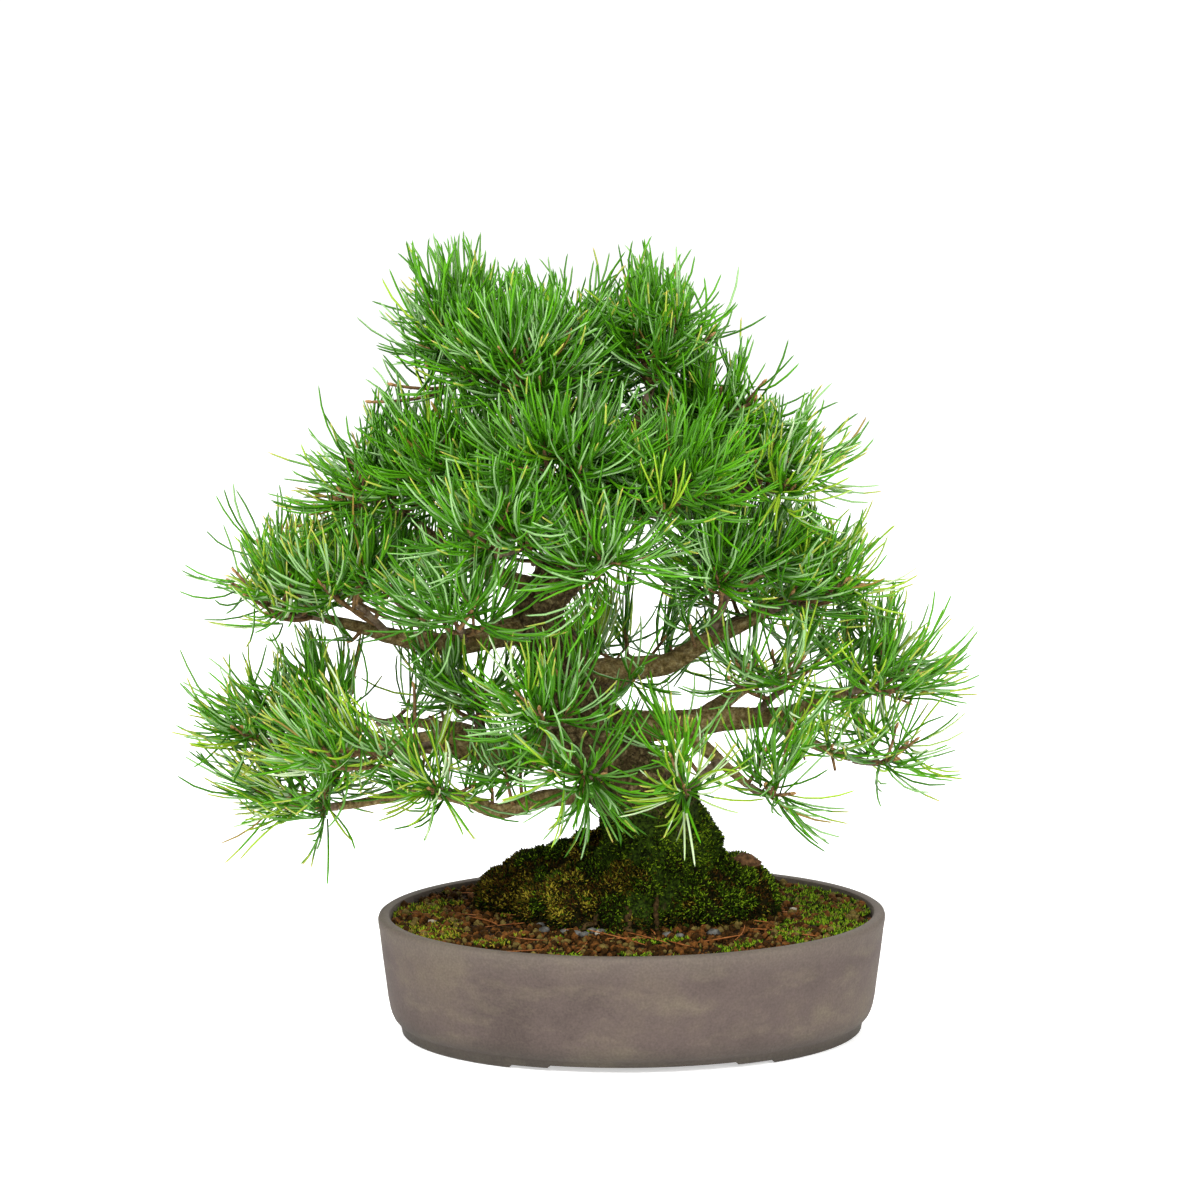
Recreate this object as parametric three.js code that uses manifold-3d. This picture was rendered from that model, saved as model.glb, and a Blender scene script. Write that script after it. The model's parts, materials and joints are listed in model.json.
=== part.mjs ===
// A Japanese white pine bonsai in an oval, unglazed stoneware pot.
// Millimetres, +Z up. The front of the tree faces -Y, and the ground is at Z = 0.
// Places are measured from the middle of the pot's underside, and the whole plant is moved at
// the end so that the origin is the bottom centre of its bounding box.
import * as THREE from "three";
import { mergeVertices } from "three/addons/utils/BufferGeometryUtils.js";
import Module from "manifold-3d";

const wasm = await Module();
wasm.setup();

// Driving dimensions of the pot, as half lengths along X and heights
const POT_HALF_LENGTH = 180;
const POT_HALF_WIDTH = 137;
const POT_HEIGHT = 85.5;
const POT_TURN = (4 * Math.PI) / 180;
const WALL = 8.5;
const FOOT_HEIGHT = 9;
const FLOOR_UNDERSIDE = 5;
const FLOOR_TOP = 14;
const ARCH = { half: 64, height: 3.8, stepHalf: 90, stepHeight: 2 };
const DRAIN = { radius: 15, fromMiddle: 72, cutLength: 40 };

// The soil, and the level where the trunk is cut off flat
const GROUND = 81;
const SOIL_EDGE = 77.5;
const GAP = 0.3;

// The needles, and how far each ring of them on a shoot leans away from it, in radians
const NEEDLE = 61;
const NEEDLE_VARIES = 0.14;
const NEEDLE_LEANS = [1.55, 1.0, 0.42];
const NEEDLE_WANDERS = 0.24;
const NEEDLE_RADIUS = 1;
const NEEDLE_CLEARANCE = 2.2;
const SHORTEST_NEEDLE = 0.4;

// The shoots that carry the needles, and the twigs and stems that carry the shoots
const SPINDLE = { radius: 3.6, swell: 5, length: 13 };
const TWIG_RADIUS = 1.3;
const TWIG_TIP_RADIUS = 1.1;
const STEM_RADII = [3.2, 2.2];
const FORKS_OVER = 0.7;
const HUB_UNDER = 0.6;
const ELBOW = { along: 0.45, up: 0.06 };
const ROOTED = 1;
const UNDERSIDE = 0.55;
const INNERMOST_SHOOT = 0.8;
const SHOOT_STRAYS = 0.3;
const TREE_MIDDLE = new THREE.Vector3(-40, 5, 0);
const GOLDEN_ANGLE = Math.PI * (3 - Math.sqrt(5));
const SEED_STEP = 7919;

// How coarse each solid is, and how closely the limbs are sampled when needles avoid them
const POT_SEGMENTS = 32;
const DRAIN_SEGMENTS = 12;
const TRUNK_SIDES = 14;
const TRUNK_STEPS = 24;
const LIMB_SIDES = 6;
const BOUGH_EXTRA_STEPS = 3;
const STEM_SIDES = 4;
const STEM_STEPS = 2;
const SPRAY_SIDES = 4;
const POINTS_APART = 3;
const BETWEEN_POINTS = 1.12;

const SPEC = {
  pot: { color: 0x75695f, roughness: 0.85, metalness: 0 },
  soil: { color: 0x4a3426, roughness: 1, metalness: 0 },
  bark: { color: 0x5d5044, roughness: 0.95, metalness: 0 },
  moss: { color: 0x3f5216, roughness: 1, metalness: 0 },
  needles: { color: 0x4c8a35, roughness: 0.6, metalness: 0 },
};
const material = (slot) => new THREE.MeshStandardMaterial(SPEC[slot]);
const at = (x, y, z) => new THREE.Vector3(x, y, z);

// A seeded linear congruential sequence from 0 to 1, so that every build grows the same tree
function seeded(seed) {
  let state = seed >>> 0;
  return () => {
    state = (Math.imul(state, 1664525) + 1013904223) >>> 0;
    return state / 4294967296;
  };
}

// A closed solid from a geometry whose shared corners are merged, and back again
function solidOf(geometry) {
  const bare = geometry.clone();
  bare.deleteAttribute("normal");
  bare.deleteAttribute("uv");
  const merged = mergeVertices(bare, 1e-4);
  return new wasm.Manifold(
    new wasm.Mesh({
      numProp: 3,
      vertProperties: new Float32Array(merged.attributes.position.array),
      triVerts: new Uint32Array(merged.index.array),
    }),
  );
}

function geometryOf(solid) {
  const mesh = solid.getMesh();
  const geometry = new THREE.BufferGeometry();
  geometry.setAttribute(
    "position",
    new THREE.BufferAttribute(mesh.vertProperties, mesh.numProp),
  );
  geometry.setIndex(new THREE.BufferAttribute(mesh.triVerts, 1));
  geometry.computeVertexNormals();
  return geometry;
}

// A cut can leave loose scraps, and only the largest body stays
function largest(solid) {
  return solid.decompose().reduce((a, b) => (b.volume() > a.volume() ? b : a));
}

const box = (sx, sy, sz, centre) =>
  solidOf(
    new THREE.BoxGeometry(sx, sy, sz).translate(centre.x, centre.y, centre.z),
  );

// The pot's plan is an oval whose wall is as thick at the ends as along the sides
const OVAL_DIFFERENCE = POT_HALF_LENGTH - POT_HALF_WIDTH;
const OVAL_FULL_RADIUS = 150;
const halfWidthAt = (r) =>
  r - OVAL_DIFFERENCE * Math.min(1, r / OVAL_FULL_RADIUS);

function ovalLathe(profile) {
  const points = profile.map(([r, z]) => new THREE.Vector2(r, z));
  const geometry = new THREE.LatheGeometry(points, POT_SEGMENTS);
  const p = geometry.attributes.position;
  for (let i = 0; i < p.count; i++) {
    const [x, height, z] = [p.getX(i), p.getY(i), p.getZ(i)];
    const r = Math.hypot(x, z);
    const angle = Math.atan2(-z, x);
    p.setXYZ(
      i,
      r * Math.cos(angle),
      halfWidthAt(r) * Math.sin(angle),
      height,
    );
  }
  return geometry;
}

function pot() {
  const top = POT_HEIGHT;
  const rim = POT_HALF_LENGTH;
  const profile = [
    [0, FLOOR_UNDERSIDE],
    [151, FLOOR_UNDERSIDE],
    [153, 0],
    [164, 0],
    [166, FOOT_HEIGHT - 0.6],
    [168.6, FOOT_HEIGHT],
    [171.4, FOOT_HEIGHT + 4],
    [rim - 0.9, top - 9],
    [rim, top - 5],
    [rim - 1, top - 1],
    [rim - 2.8, top],
    [rim - WALL + 1.6, top],
    [rim - WALL, top - 2],
    [162.6, FLOOR_TOP + 8],
    [156, FLOOR_TOP],
    [0, FLOOR_TOP],
  ];
  const body = solidOf(ovalLathe(profile));
  const across = 2 * POT_HALF_LENGTH;
  const arch = box(2 * ARCH.half, across, 2 * ARCH.height, at(0, 0, 0));
  const step = box(2 * ARCH.stepHalf, across, 2 * ARCH.stepHeight, at(0, 0, 0));
  const drains = [-1, 1].map((side) =>
    solidOf(
      new THREE.CylinderGeometry(
        DRAIN.radius,
        DRAIN.radius,
        DRAIN.cutLength,
        DRAIN_SEGMENTS,
      )
        .rotateX(Math.PI / 2)
        .translate(side * DRAIN.fromMiddle, 0, FLOOR_TOP),
    ),
  );
  return drains.reduce(
    (solid, drain) => solid.subtract(drain),
    body.subtract(arch).subtract(step),
  );
}

// The soil lies against the wall and floor, and rises a little from the rim to a level middle
function soil() {
  return solidOf(
    ovalLathe([
      [0, FLOOR_TOP + GAP],
      [155.5, FLOOR_TOP + GAP],
      [162, FLOOR_TOP + 8.3],
      [170.2, SOIL_EDGE],
      [150, GROUND - 1],
      [128, GROUND],
      [0, GROUND],
    ]),
  );
}

// A closed cylinder is bent along a curve: its height runs along the curve, and its wall gets
// the radius that radiusAt(share of length, angle) gives.
function bent(curve, radiusAt, sides, steps) {
  const geometry = new THREE.CylinderGeometry(1, 1, 1, sides, steps);
  const frames = curve.computeFrenetFrames(steps, false);
  const p = geometry.attributes.position;
  for (let i = 0; i < p.count; i++) {
    const [x, y, z] = [p.getX(i), p.getY(i), p.getZ(i)];
    const step = Math.round((y + 0.5) * steps);
    const share = step / steps;
    const angle = Math.atan2(z, x);
    const r = Math.hypot(x, z) * radiusAt(share, angle);
    const place = curve
      .getPointAt(share)
      .addScaledVector(frames.normals[step], r * Math.cos(angle))
      .addScaledVector(frames.binormals[step], -r * Math.sin(angle));
    p.setXYZ(i, place.x, place.y, place.z);
  }
  return geometry;
}

const curveThrough = (points) =>
  new THREE.CatmullRomCurve3(points.map((p) => at(...p)), false, "centripetal");

// The trunk's route from below the ground to its tip, with its radius at each point
const TRUNK = [
  { p: [8, 20, 57], r: 80 },
  { p: [8, 20, 81], r: 70 },
  { p: [12, 20, 104], r: 58 },
  { p: [15, 19, 128], r: 47 },
  { p: [13, 15, 148], r: 38 },
  { p: [6, 9, 166], r: 33.5 },
  { p: [-8, 3, 185], r: 31 },
  { p: [-22, -1, 205], r: 28 },
  { p: [-35, -3, 228], r: 25.5 },
  { p: [-43, -3, 250], r: 24 },
  { p: [-54, -1, 270], r: 22 },
  { p: [-66, 1, 290], r: 19.5 },
  { p: [-63, 2, 308], r: 18 },
  { p: [-51, 3, 325], r: 16.5 },
  { p: [-40, 3, 349], r: 14.5 },
  { p: [-34, 1, 372], r: 12.5 },
  { p: [-30, -2, 402], r: 10 },
  { p: [-33, -4, 430], r: 8 },
  { p: [-35, -1, 452], r: 6 },
];
const FLARE_TOP = 0.36;
const trunkCurve = curveThrough(TRUNK.map((point) => point.p));

// A radius part of the way along a limb that is known at its points
function radiusBetween(radii, share) {
  const place = share * (radii.length - 1);
  const i = Math.min(radii.length - 2, Math.floor(place));
  return radii[i] + (radii[i + 1] - radii[i]) * (place - i);
}

// The curve's own points aren't evenly spaced, so radii are first read off along its length
function evenRadii(curve, radii) {
  const pieces = 400;
  const samples = 40;
  const lengths = curve.getLengths(pieces);
  return Array.from({ length: samples + 1 }, (_, i) => {
    const target = (i / samples) * lengths[pieces];
    const found = lengths.findIndex((length) => length >= target - 1e-9);
    return radiusBetween(radii, found / pieces);
  });
}
const trunkRadii = evenRadii(
  trunkCurve,
  TRUNK.map((point) => point.r),
);

// The root flare has seven lobes of about a tenth of its radius, and a broad three-sided sway
function trunkRadius(share, angle) {
  const flare = Math.max(0, 1 - share / FLARE_TOP);
  const lobes = 0.11 * Math.sin(7 * angle + 0.8);
  const sway = 0.09 * Math.sin(3 * angle + 1.9);
  return radiusBetween(trunkRadii, share) * (1 + flare * (lobes + sway));
}

const FLARE_BLOCK = 400;
const underGround = () =>
  box(FLARE_BLOCK, FLARE_BLOCK, GROUND, at(0, 0, GROUND / 2));
function trunkSolid(grow = 0) {
  const radius = (share, angle) => trunkRadius(share, angle) + grow;
  const whole = solidOf(bent(trunkCurve, radius, TRUNK_SIDES, TRUNK_STEPS));
  return whole.subtract(underGround());
}

// Each bough starts inside its parent and tapers from its first radius to its second
const bough = (name, parent, radii, route) => ({ name, parent, radii, route });
const BOUGHS = [
  bough("bough_left_low", "trunk", [8, 3.4], [
    [2, 12, 172], [-36, -2, 170], [-68, -12, 168], [-94, -15, 161],
    [-119, -10, 169], [-153, -2, 172], [-188, 0, 164], [-208, 0, 161],
  ]),
  bough("bough_left_main", "trunk", [17, 4.4], [
    [-24, 0, 208], [-56, -4, 206], [-82, -5, 201], [-113, 2, 204],
    [-146, 8, 205], [-178, 10, 201], [-210, 8, 203],
  ]),
  bough("bough_left_mid", "trunk", [12, 3.4], [
    [-64, 1, 290], [-93, -8, 286], [-124, -10, 280], [-158, -2, 281],
    [-192, 0, 290], [-216, 0, 296],
  ]),
  bough("bough_left_upper", "trunk", [8.5, 3.2], [
    [-58, 4, 314], [-86, 8, 322], [-117, 9, 335], [-141, 5, 354],
    [-156, 0, 368],
  ]),
  bough("bough_top_left", "trunk", [6, 3], [
    [-33, -4, 424], [-56, -6, 441], [-82, -6, 455], [-98, -2, 466],
  ]),
  bough("bough_top_right", "trunk", [6.5, 3], [
    [-31, -3, 404], [-10, -8, 420], [3, -13, 435], [9, -13, 449],
  ]),
  bough("bough_right_upper", "trunk", [8, 3.2], [
    [-33, 0, 380], [8, 0, 379], [44, 0, 381], [72, 0, 386],
  ]),
  bough("bough_right_mid", "trunk", [11, 4], [
    [-46, -4, 256], [5, -2, 261], [27, 0, 264], [49, 0, 278],
    [75, 5, 289], [96, 6, 300],
  ]),
  bough("bough_right_low", "trunk", [14, 4], [
    [-28, -2, 218], [13, 0, 219], [40, 0, 221], [66, 0, 224],
    [108, 0, 227], [131, 0, 237], [150, 0, 243],
  ]),
  bough("bough_right_under", "bough_right_low", [6, 2.8], [
    [96, 0, 226], [114, 2, 213], [136, 2, 202], [156, 1, 195],
  ]),
  bough("bough_right_lowest", "bough_right_low", [7, 3], [
    [30, -1, 220], [48, -16, 209], [66, -32, 196], [82, -40, 184],
  ]),
  bough("bough_back_low", "trunk", [10, 3.6], [
    [-37, -3, 232], [-22, 40, 232], [-6, 80, 234], [2, 108, 238],
  ]),
  bough("bough_back_left", "bough_left_main", [8, 3.2], [
    [-98, 0, 202], [-118, 36, 207], [-144, 72, 205], [-164, 96, 203],
  ]),
  bough("bough_back_right", "bough_right_low", [8, 3.2], [
    [46, 0, 222], [64, 36, 228], [80, 72, 231], [90, 94, 231],
  ]),
  bough("bough_back_mid", "trunk", [9, 3.4], [
    [-63, 3, 306], [-64, 40, 311], [-66, 78, 315], [-66, 102, 319],
  ]),
];

// Each mass of needles: the limb that its stem leaves, and how far along it, the middle of its
// shoots, their spread to each side, their number, and how far they lift towards the sky.
const mass = (name, limb, along, middle, spread, shoots, lift) => ({
  name,
  limb,
  along,
  middle: at(...middle),
  spread: at(...spread),
  shoots,
  lift,
});
const MASSES = [
  mass("low_left_tip", "bough_left_low", 1, [-228, 0, 169], [27, 40, 13], 6, 0),
  mass("low_left_front", "bough_left_low", 0.6, [-137, -52, 188], [14, 12, 7], 2, 0),
  mass("left_tip", "bough_left_main", 1, [-246, 4, 214], [24, 40, 18], 6, 0.4),
  mass("left_top", "bough_left_main", 0.8, [-206, -2, 236], [22, 34, 12], 5, 0.5),
  mass("left_front", "bough_left_main", 0.58, [-196, -74, 211], [30, 22, 12], 4, 0.3),
  mass("left_inner", "bough_left_main", 0.4, [-118, 0, 242], [34, 30, 12], 5, 0.6),
  mass("back_left", "bough_back_left", 1, [-186, 120, 209], [40, 34, 22], 5, 0.4),
  mass("mid_left_tip", "bough_left_mid", 1, [-242, 2, 306], [24, 38, 16], 6, 0.35),
  mass("mid_left_top", "bough_left_mid", 0.7, [-192, -26, 320], [28, 30, 16], 5, 0.6),
  mass("mid_left_front", "bough_left_mid", 0.35, [-118, -84, 311], [26, 20, 12], 4, 0.25),
  mass("mid_left_back", "bough_left_mid", 0.5, [-172, 98, 304], [42, 32, 20], 5, 0.45),
  mass("upper_left", "bough_left_upper", 1, [-172, 0, 384], [34, 40, 26], 7, 0.5),
  mass("upper_left_inner", "bough_left_upper", 0.45, [-122, -36, 404], [30, 32, 26], 6, 0.6),
  mass("front_left", "trunk", 0.75, [-92, -100, 366], [24, 20, 16], 4, 0.4),
  mass("top_left", "bough_top_left", 1, [-117, 0, 482], [32, 36, 34], 7, 0.8),
  mass("top_left_front", "bough_top_left", 0.45, [-76, -54, 474], [26, 26, 22], 5, 0.75),
  mass("apex", "trunk", 1, [-42, 6, 488], [24, 34, 18], 6, 0.9),
  mass("top_right", "bough_top_right", 1, [18, -10, 488], [28, 34, 24], 7, 0.85),
  mass("top_right_out", "bough_top_right", 0.4, [70, 0, 446], [14, 18, 8], 2, 0.6),
  mass("top_back", "trunk", 0.92, [-50, 88, 442], [46, 28, 32], 6, 0.7),
  mass("front_upper", "trunk", 0.88, [-52, -84, 413], [34, 22, 20], 5, 0.45),
  mass("front_middle", "trunk", 0.7, [-22, -96, 350], [14, 12, 10], 3, 0.3),
  mass("front_right", "trunk", 0.82, [24, -68, 391], [32, 26, 22], 6, 0.5),
  mass("upper_right", "bough_right_upper", 1, [97, 0, 396], [32, 38, 20], 6, 0.5),
  mass("upper_right_inner", "bough_right_upper", 0.55, [52, 8, 426], [28, 34, 18], 5, 0.75),
  mass("upper_right_back", "trunk", 0.79, [48, 92, 368], [40, 28, 24], 5, 0.5),
  mass("mid_right_tip", "bough_right_mid", 1, [126, 2, 316], [30, 38, 20], 6, 0.35),
  mass("mid_right_top", "bough_right_mid", 0.7, [72, -16, 336], [34, 34, 14], 5, 0.45),
  mass("mid_right_back", "bough_right_mid", 0.5, [88, 104, 296], [40, 30, 22], 5, 0.45),
  mass("right_tip", "bough_right_low", 1, [176, 0, 252], [22, 32, 18], 6, 0.25),
  mass("right_top", "bough_right_low", 0.62, [108, -16, 257], [32, 32, 10], 5, 0.5),
  mass("right_under", "bough_right_under", 1, [174, 0, 196], [12, 24, 6], 3, 0.15),
  mass("right_lowest", "bough_right_lowest", 1, [98, -46, 182], [10, 14, 5], 2, 0.05),
  mass("front_low_right", "bough_right_lowest", 0.62, [38, -80, 190], [3, 3, 3], 1, 0),
  mass("front_low", "trunk", 0.42, [-58, -86, 240], [14, 12, 8], 3, 0.3),
  mass("front_lowest", "trunk", 0.34, [-32, -74, 199], [10, 8, 6], 2, -0.1),
  mass("back_right", "bough_back_right", 1, [108, 116, 235], [40, 32, 20], 5, 0.4),
  mass("back_low", "bough_back_low", 1, [-6, 132, 246], [36, 30, 22], 5, 0.4),
  mass("back_mid", "bough_back_mid", 1, [-72, 126, 329], [40, 28, 26], 5, 0.5),
];

// A limb as its curve and its radius along it. The trunk is first, so that boughs can find it
const between = ([from, to], share) => from + (to - from) * share;
const limbs = new Map();
limbs.set("trunk", {
  curve: trunkCurve,
  radius: (share) => radiusBetween(trunkRadii, share),
});
for (const { name, parent, radii, route } of BOUGHS) {
  limbs.set(name, {
    curve: curveThrough(route),
    radius: (share) => between(radii, share),
    parent,
    steps: route.length + BOUGH_EXTRA_STEPS,
  });
}

function limbSolid(name, grow = 0) {
  if (name === "trunk") return trunkSolid(grow);
  const { curve, radius, steps } = limbs.get(name);
  const grown = (share) => radius(share) + grow;
  return solidOf(bent(curve, grown, LIMB_SIDES, steps));
}

// A bough is cut back clear of its parent
function boughSolid(name) {
  const parent = limbSolid(limbs.get(name).parent, GAP);
  return largest(limbSolid(name).subtract(parent));
}

// Where a mass's stem runs: from inside its limb to a little under the middle of its shoots.
// It goes on from a limb's tip, and rises out of a limb's side.
function stemOf({ limb, along, middle, spread }) {
  const { curve } = limbs.get(limb);
  const hub = middle.clone().setZ(middle.z - HUB_UNDER * spread.z);
  const start = curve.getPointAt(along);
  const reach = start.distanceTo(hub);
  const atTip = along === 1;
  const leave = atTip
    ? curve.getTangentAt(along)
    : hub.clone().sub(start).normalize();
  const elbow = start.clone().addScaledVector(leave, ELBOW.along * reach);
  elbow.z += atTip ? 0 : ELBOW.up * reach;
  start.addScaledVector(leave, -ROOTED);
  return {
    curve: new THREE.QuadraticBezierCurve3(start, elbow, hub),
    radius: (share) => between(STEM_RADII, share),
    hub,
  };
}

// The shoots of a mass lie on an ellipsoid round its middle, turned by the golden angle, and
// point away from its hub and from the tree, lifted towards the sky.
function shootsOf(mass, index) {
  const random = seeded(SEED_STEP * (index + 1));
  const { hub } = mass.stem;
  const turn = 2 * Math.PI * random();
  return Array.from({ length: mass.shoots }, (_, k) => {
    const height = 1 - ((k + 0.5) / mass.shoots) * (1 + UNDERSIDE);
    const ring = Math.sqrt(1 - height * height);
    const angle = turn + k * GOLDEN_ANGLE;
    const place = at(ring * Math.cos(angle), ring * Math.sin(angle), height)
      .multiply(mass.spread)
      .multiplyScalar(between([INNERMOST_SHOOT, 1], random()))
      .add(mass.middle);
    const outward = place.clone().sub(TREE_MIDDLE).setZ(0).normalize();
    const stray = at(random() - 0.5, random() - 0.5, random() - 0.5);
    const axis = place.clone().sub(hub).normalize().add(outward);
    axis.multiplyScalar(0.5 * (1 - mass.lift));
    axis.z += mass.lift;
    axis.addScaledVector(stray, SHOOT_STRAYS).normalize();
    const spin = 2 * Math.PI * random();
    return { place, axis, spin, seed: 1 + Math.floor(1e6 * random()) };
  });
}

// Points along each limb and stem, with their radii, that needles and twigs keep clear of
function pointsAlong({ curve, radius }, owner) {
  const count = Math.ceil(curve.getLength() / POINTS_APART);
  return Array.from({ length: count + 1 }, (_, i) => ({
    p: curve.getPointAt(i / count),
    r: radius(i / count),
    owner,
  }));
}
for (const mass of MASSES) mass.stem = stemOf(mass);
const wood = [...limbs].flatMap(([name, limb]) => pointsAlong(limb, name));
const stems = MASSES.flatMap((mass) => pointsAlong(mass.stem, mass.name));
const obstacles = [...wood, ...stems];

// Whether the line from a to b, as thick as given, stays clear of what isn't this mass's own
function clear(a, b, thickness, owner) {
  const line = new THREE.Line3(a, b);
  const near = at(0, 0, 0);
  return obstacles.every((o) => {
    if (o.owner === owner) return true;
    line.closestPointToPoint(o.p, true, near);
    return near.distanceTo(o.p) > o.r * BETWEEN_POINTS + thickness;
  });
}

// Each mass has its own space, between flat walls about half way to its neighbours
const sizeOf = ({ spread }) => (spread.x + spread.y + spread.z) / 3;
for (const mass of MASSES) {
  const others = MASSES.filter((other) => other !== mass);
  mass.walls = others.map((other) => {
    const normal = other.middle.clone().sub(mass.middle);
    const apart = normal.length();
    const unequal = sizeOf(mass) ** 2 - sizeOf(other) ** 2;
    const share = (apart * apart + unequal) / (2 * apart);
    normal.normalize();
    return { normal, reach: normal.dot(mass.middle) + share - GAP };
  });
}
function roomAlong(mass, from, direction) {
  return mass.walls.reduce((room, { normal, reach }) => {
    const speed = normal.dot(direction);
    const far = (reach - normal.dot(from)) / speed;
    return speed > 0 ? Math.min(room, far) : room;
  }, Infinity);
}
const inside = (mass, p, margin) =>
  mass.walls.every(({ normal, reach }) => normal.dot(p) < reach - margin);

// The corners of a regular ring round a point
function ringAt(centre, u, v, radius, spin) {
  return Array.from({ length: SPRAY_SIDES }, (_, i) => {
    const angle = spin + (2 * Math.PI * i) / SPRAY_SIDES;
    return centre
      .clone()
      .addScaledVector(u, radius * Math.cos(angle))
      .addScaledVector(v, radius * Math.sin(angle));
  });
}

// A spray: a slim twig that swells into a spindle at its end, whose faces rise into needles.
// A needle that would leave its mass's space is shortened, and one with no room, or in the way
// of something that has already grown, is left out.
function spray(mass, shoot, taken) {
  const { fork, neck, end, axis, spin } = shoot;
  const random = seeded(shoot.seed);
  const ahead = neck.clone().sub(fork).normalize();
  const u = axis.clone().cross(ahead).normalize();
  const v = axis.clone().cross(u);
  const wide = neck.clone().addScaledVector(axis, SPINDLE.swell);
  const forkV = ahead.clone().cross(u);
  const forkRing = ringAt(fork, u, forkV, TWIG_RADIUS, spin);
  const neckRing = ringAt(neck, u, v, TWIG_TIP_RADIUS, spin);
  const wideRing = ringAt(wide, u, v, SPINDLE.radius, spin);
  const corners = [];
  const face = (a, b, c) => corners.push(a, b, c);

  function needle(a, b, c, lean) {
    const foot = a.clone().add(b).add(c).divideScalar(3);
    const out = foot.clone().sub(neck);
    out.addScaledVector(axis, -out.dot(axis)).normalize();
    const angle = lean + NEEDLE_WANDERS * (random() - 0.5);
    out.multiplyScalar(Math.sin(angle));
    const direction = out.addScaledVector(axis, Math.cos(angle));
    const full = NEEDLE * (1 - NEEDLE_VARIES * random());
    const length = Math.min(full, roomAlong(mass, foot, direction) - GAP);
    const tip = foot.clone().addScaledVector(direction, length);
    const line = new THREE.Line3(foot, tip);
    const misses = (other) =>
      other.shoot === shoot ||
      Math.sqrt(line.distanceSqToLine3(other.line)) > other.r + NEEDLE_RADIUS;
    const grows =
      length > SHORTEST_NEEDLE * NEEDLE &&
      [a, b, c].every((corner) => inside(mass, corner, 0)) &&
      clear(foot, tip, NEEDLE_CLEARANCE, mass.name) &&
      taken.every(misses);
    if (!grows) return face(a, b, c);
    face(a, b, tip);
    face(b, c, tip);
    face(c, a, tip);
    taken.push({ shoot, line, r: NEEDLE_RADIUS });
  }

  for (let i = 0; i < SPRAY_SIDES; i++) {
    const j = (i + 1) % SPRAY_SIDES;
    if (i > 0 && j > 0) face(forkRing[0], forkRing[j], forkRing[i]);
    face(forkRing[i], forkRing[j], neckRing[j]);
    face(forkRing[i], neckRing[j], neckRing[i]);
    needle(neckRing[i], neckRing[j], wideRing[j], NEEDLE_LEANS[0]);
    needle(neckRing[i], wideRing[j], wideRing[i], NEEDLE_LEANS[1]);
    needle(wideRing[i], wideRing[j], end, NEEDLE_LEANS[2]);
  }
  return solidOf(new THREE.BufferGeometry().setFromPoints(corners));
}

// The stem, with sprays that leave it one after another
function massSolid(mass, index) {
  const { curve, radius } = mass.stem;
  const stem = solidOf(bent(curve, radius, STEM_SIDES, STEM_STEPS));
  const shoots = shootsOf(mass, index);
  shoots.forEach((shoot, k) => {
    const share = k / Math.max(1, shoots.length - 1);
    const { place, axis } = shoot;
    shoot.fork = curve.getPointAt(1 - share * FORKS_OVER);
    shoot.neck = place.clone().addScaledVector(axis, -SPINDLE.swell);
    shoot.end = place.clone().addScaledVector(axis, SPINDLE.length);
  });
  const kept = shoots.filter(
    ({ place, fork, neck, end }) =>
      inside(mass, place, SPINDLE.length / 2) &&
      clear(fork, neck, TWIG_RADIUS, mass.name) &&
      clear(neck, end, SPINDLE.radius, mass.name),
  );
  const taken = kept.flatMap((shoot) => [
    { shoot, line: new THREE.Line3(shoot.fork, shoot.neck), r: TWIG_RADIUS },
    { shoot, line: new THREE.Line3(shoot.neck, shoot.end), r: SPINDLE.radius },
  ]);
  const grow = (solid, shoot) => solid.add(spray(mass, shoot, taken));
  const whole = kept.reduce(grow, stem);
  return largest(whole.subtract(limbSolid(mass.limb, GAP)));
}

// Cushions of moss over the root flare: domes cut flat at the ground and clear of the trunk
const CUSHIONS = [
  { name: "moss_left", middle: [-66, 34], size: [38, 38, 42], seed: 3 },
  { name: "moss_front", middle: [-38, -12], size: [36, 38, 40], seed: 5 },
  { name: "moss_right", middle: [72, 16], size: [32, 40, 42], seed: 8 },
];
const LUMPS = 0.06;
const CUSHION_SIDES = 14;
const CUSHION_RINGS = 10;
function cushionSolid({ middle, size, seed }, grow = 0) {
  const random = seeded(seed);
  const phase = [random(), random(), random()].map((v) => 2 * Math.PI * v);
  const geometry = new THREE.SphereGeometry(1, CUSHION_SIDES, CUSHION_RINGS);
  geometry.rotateX(Math.PI / 2);
  const p = geometry.attributes.position;
  for (let i = 0; i < p.count; i++) {
    const [x, y, z] = [p.getX(i), p.getY(i), p.getZ(i)];
    const waves =
      Math.sin(3 * x + phase[0]) +
      Math.sin(4 * y + phase[1]) +
      Math.sin(3 * z + phase[2]);
    const lump = 1 + LUMPS * waves;
    p.setXYZ(
      i,
      middle[0] + (size[0] + grow) * x * lump,
      middle[1] + (size[1] + grow) * y * lump,
      GROUND + (size[2] + grow) * z * lump,
    );
  }
  return solidOf(geometry).subtract(underGround());
}

// Every solid, each a named mesh of the plant
const plant = new THREE.Group();
function place(name, solid, slot) {
  const mesh = new THREE.Mesh(geometryOf(solid), material(slot));
  mesh.name = name;
  plant.add(mesh);
  return mesh;
}
place("pot", pot(), "pot").rotation.z = POT_TURN;
place("soil", soil(), "soil").rotation.z = POT_TURN;
place("trunk", trunkSolid(), "bark");
let taken = trunkSolid(GAP);
for (const cushion of CUSHIONS) {
  const solid = cushionSolid(cushion).subtract(taken);
  place(cushion.name, largest(solid), "moss");
  taken = taken.add(cushionSolid(cushion, 2 * GAP));
}
for (const { name } of BOUGHS) place(name, boughSolid(name), "bark");
MASSES.forEach((mass, index) => {
  place("needles_" + mass.name, massSolid(mass, index), "needles");
});

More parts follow.
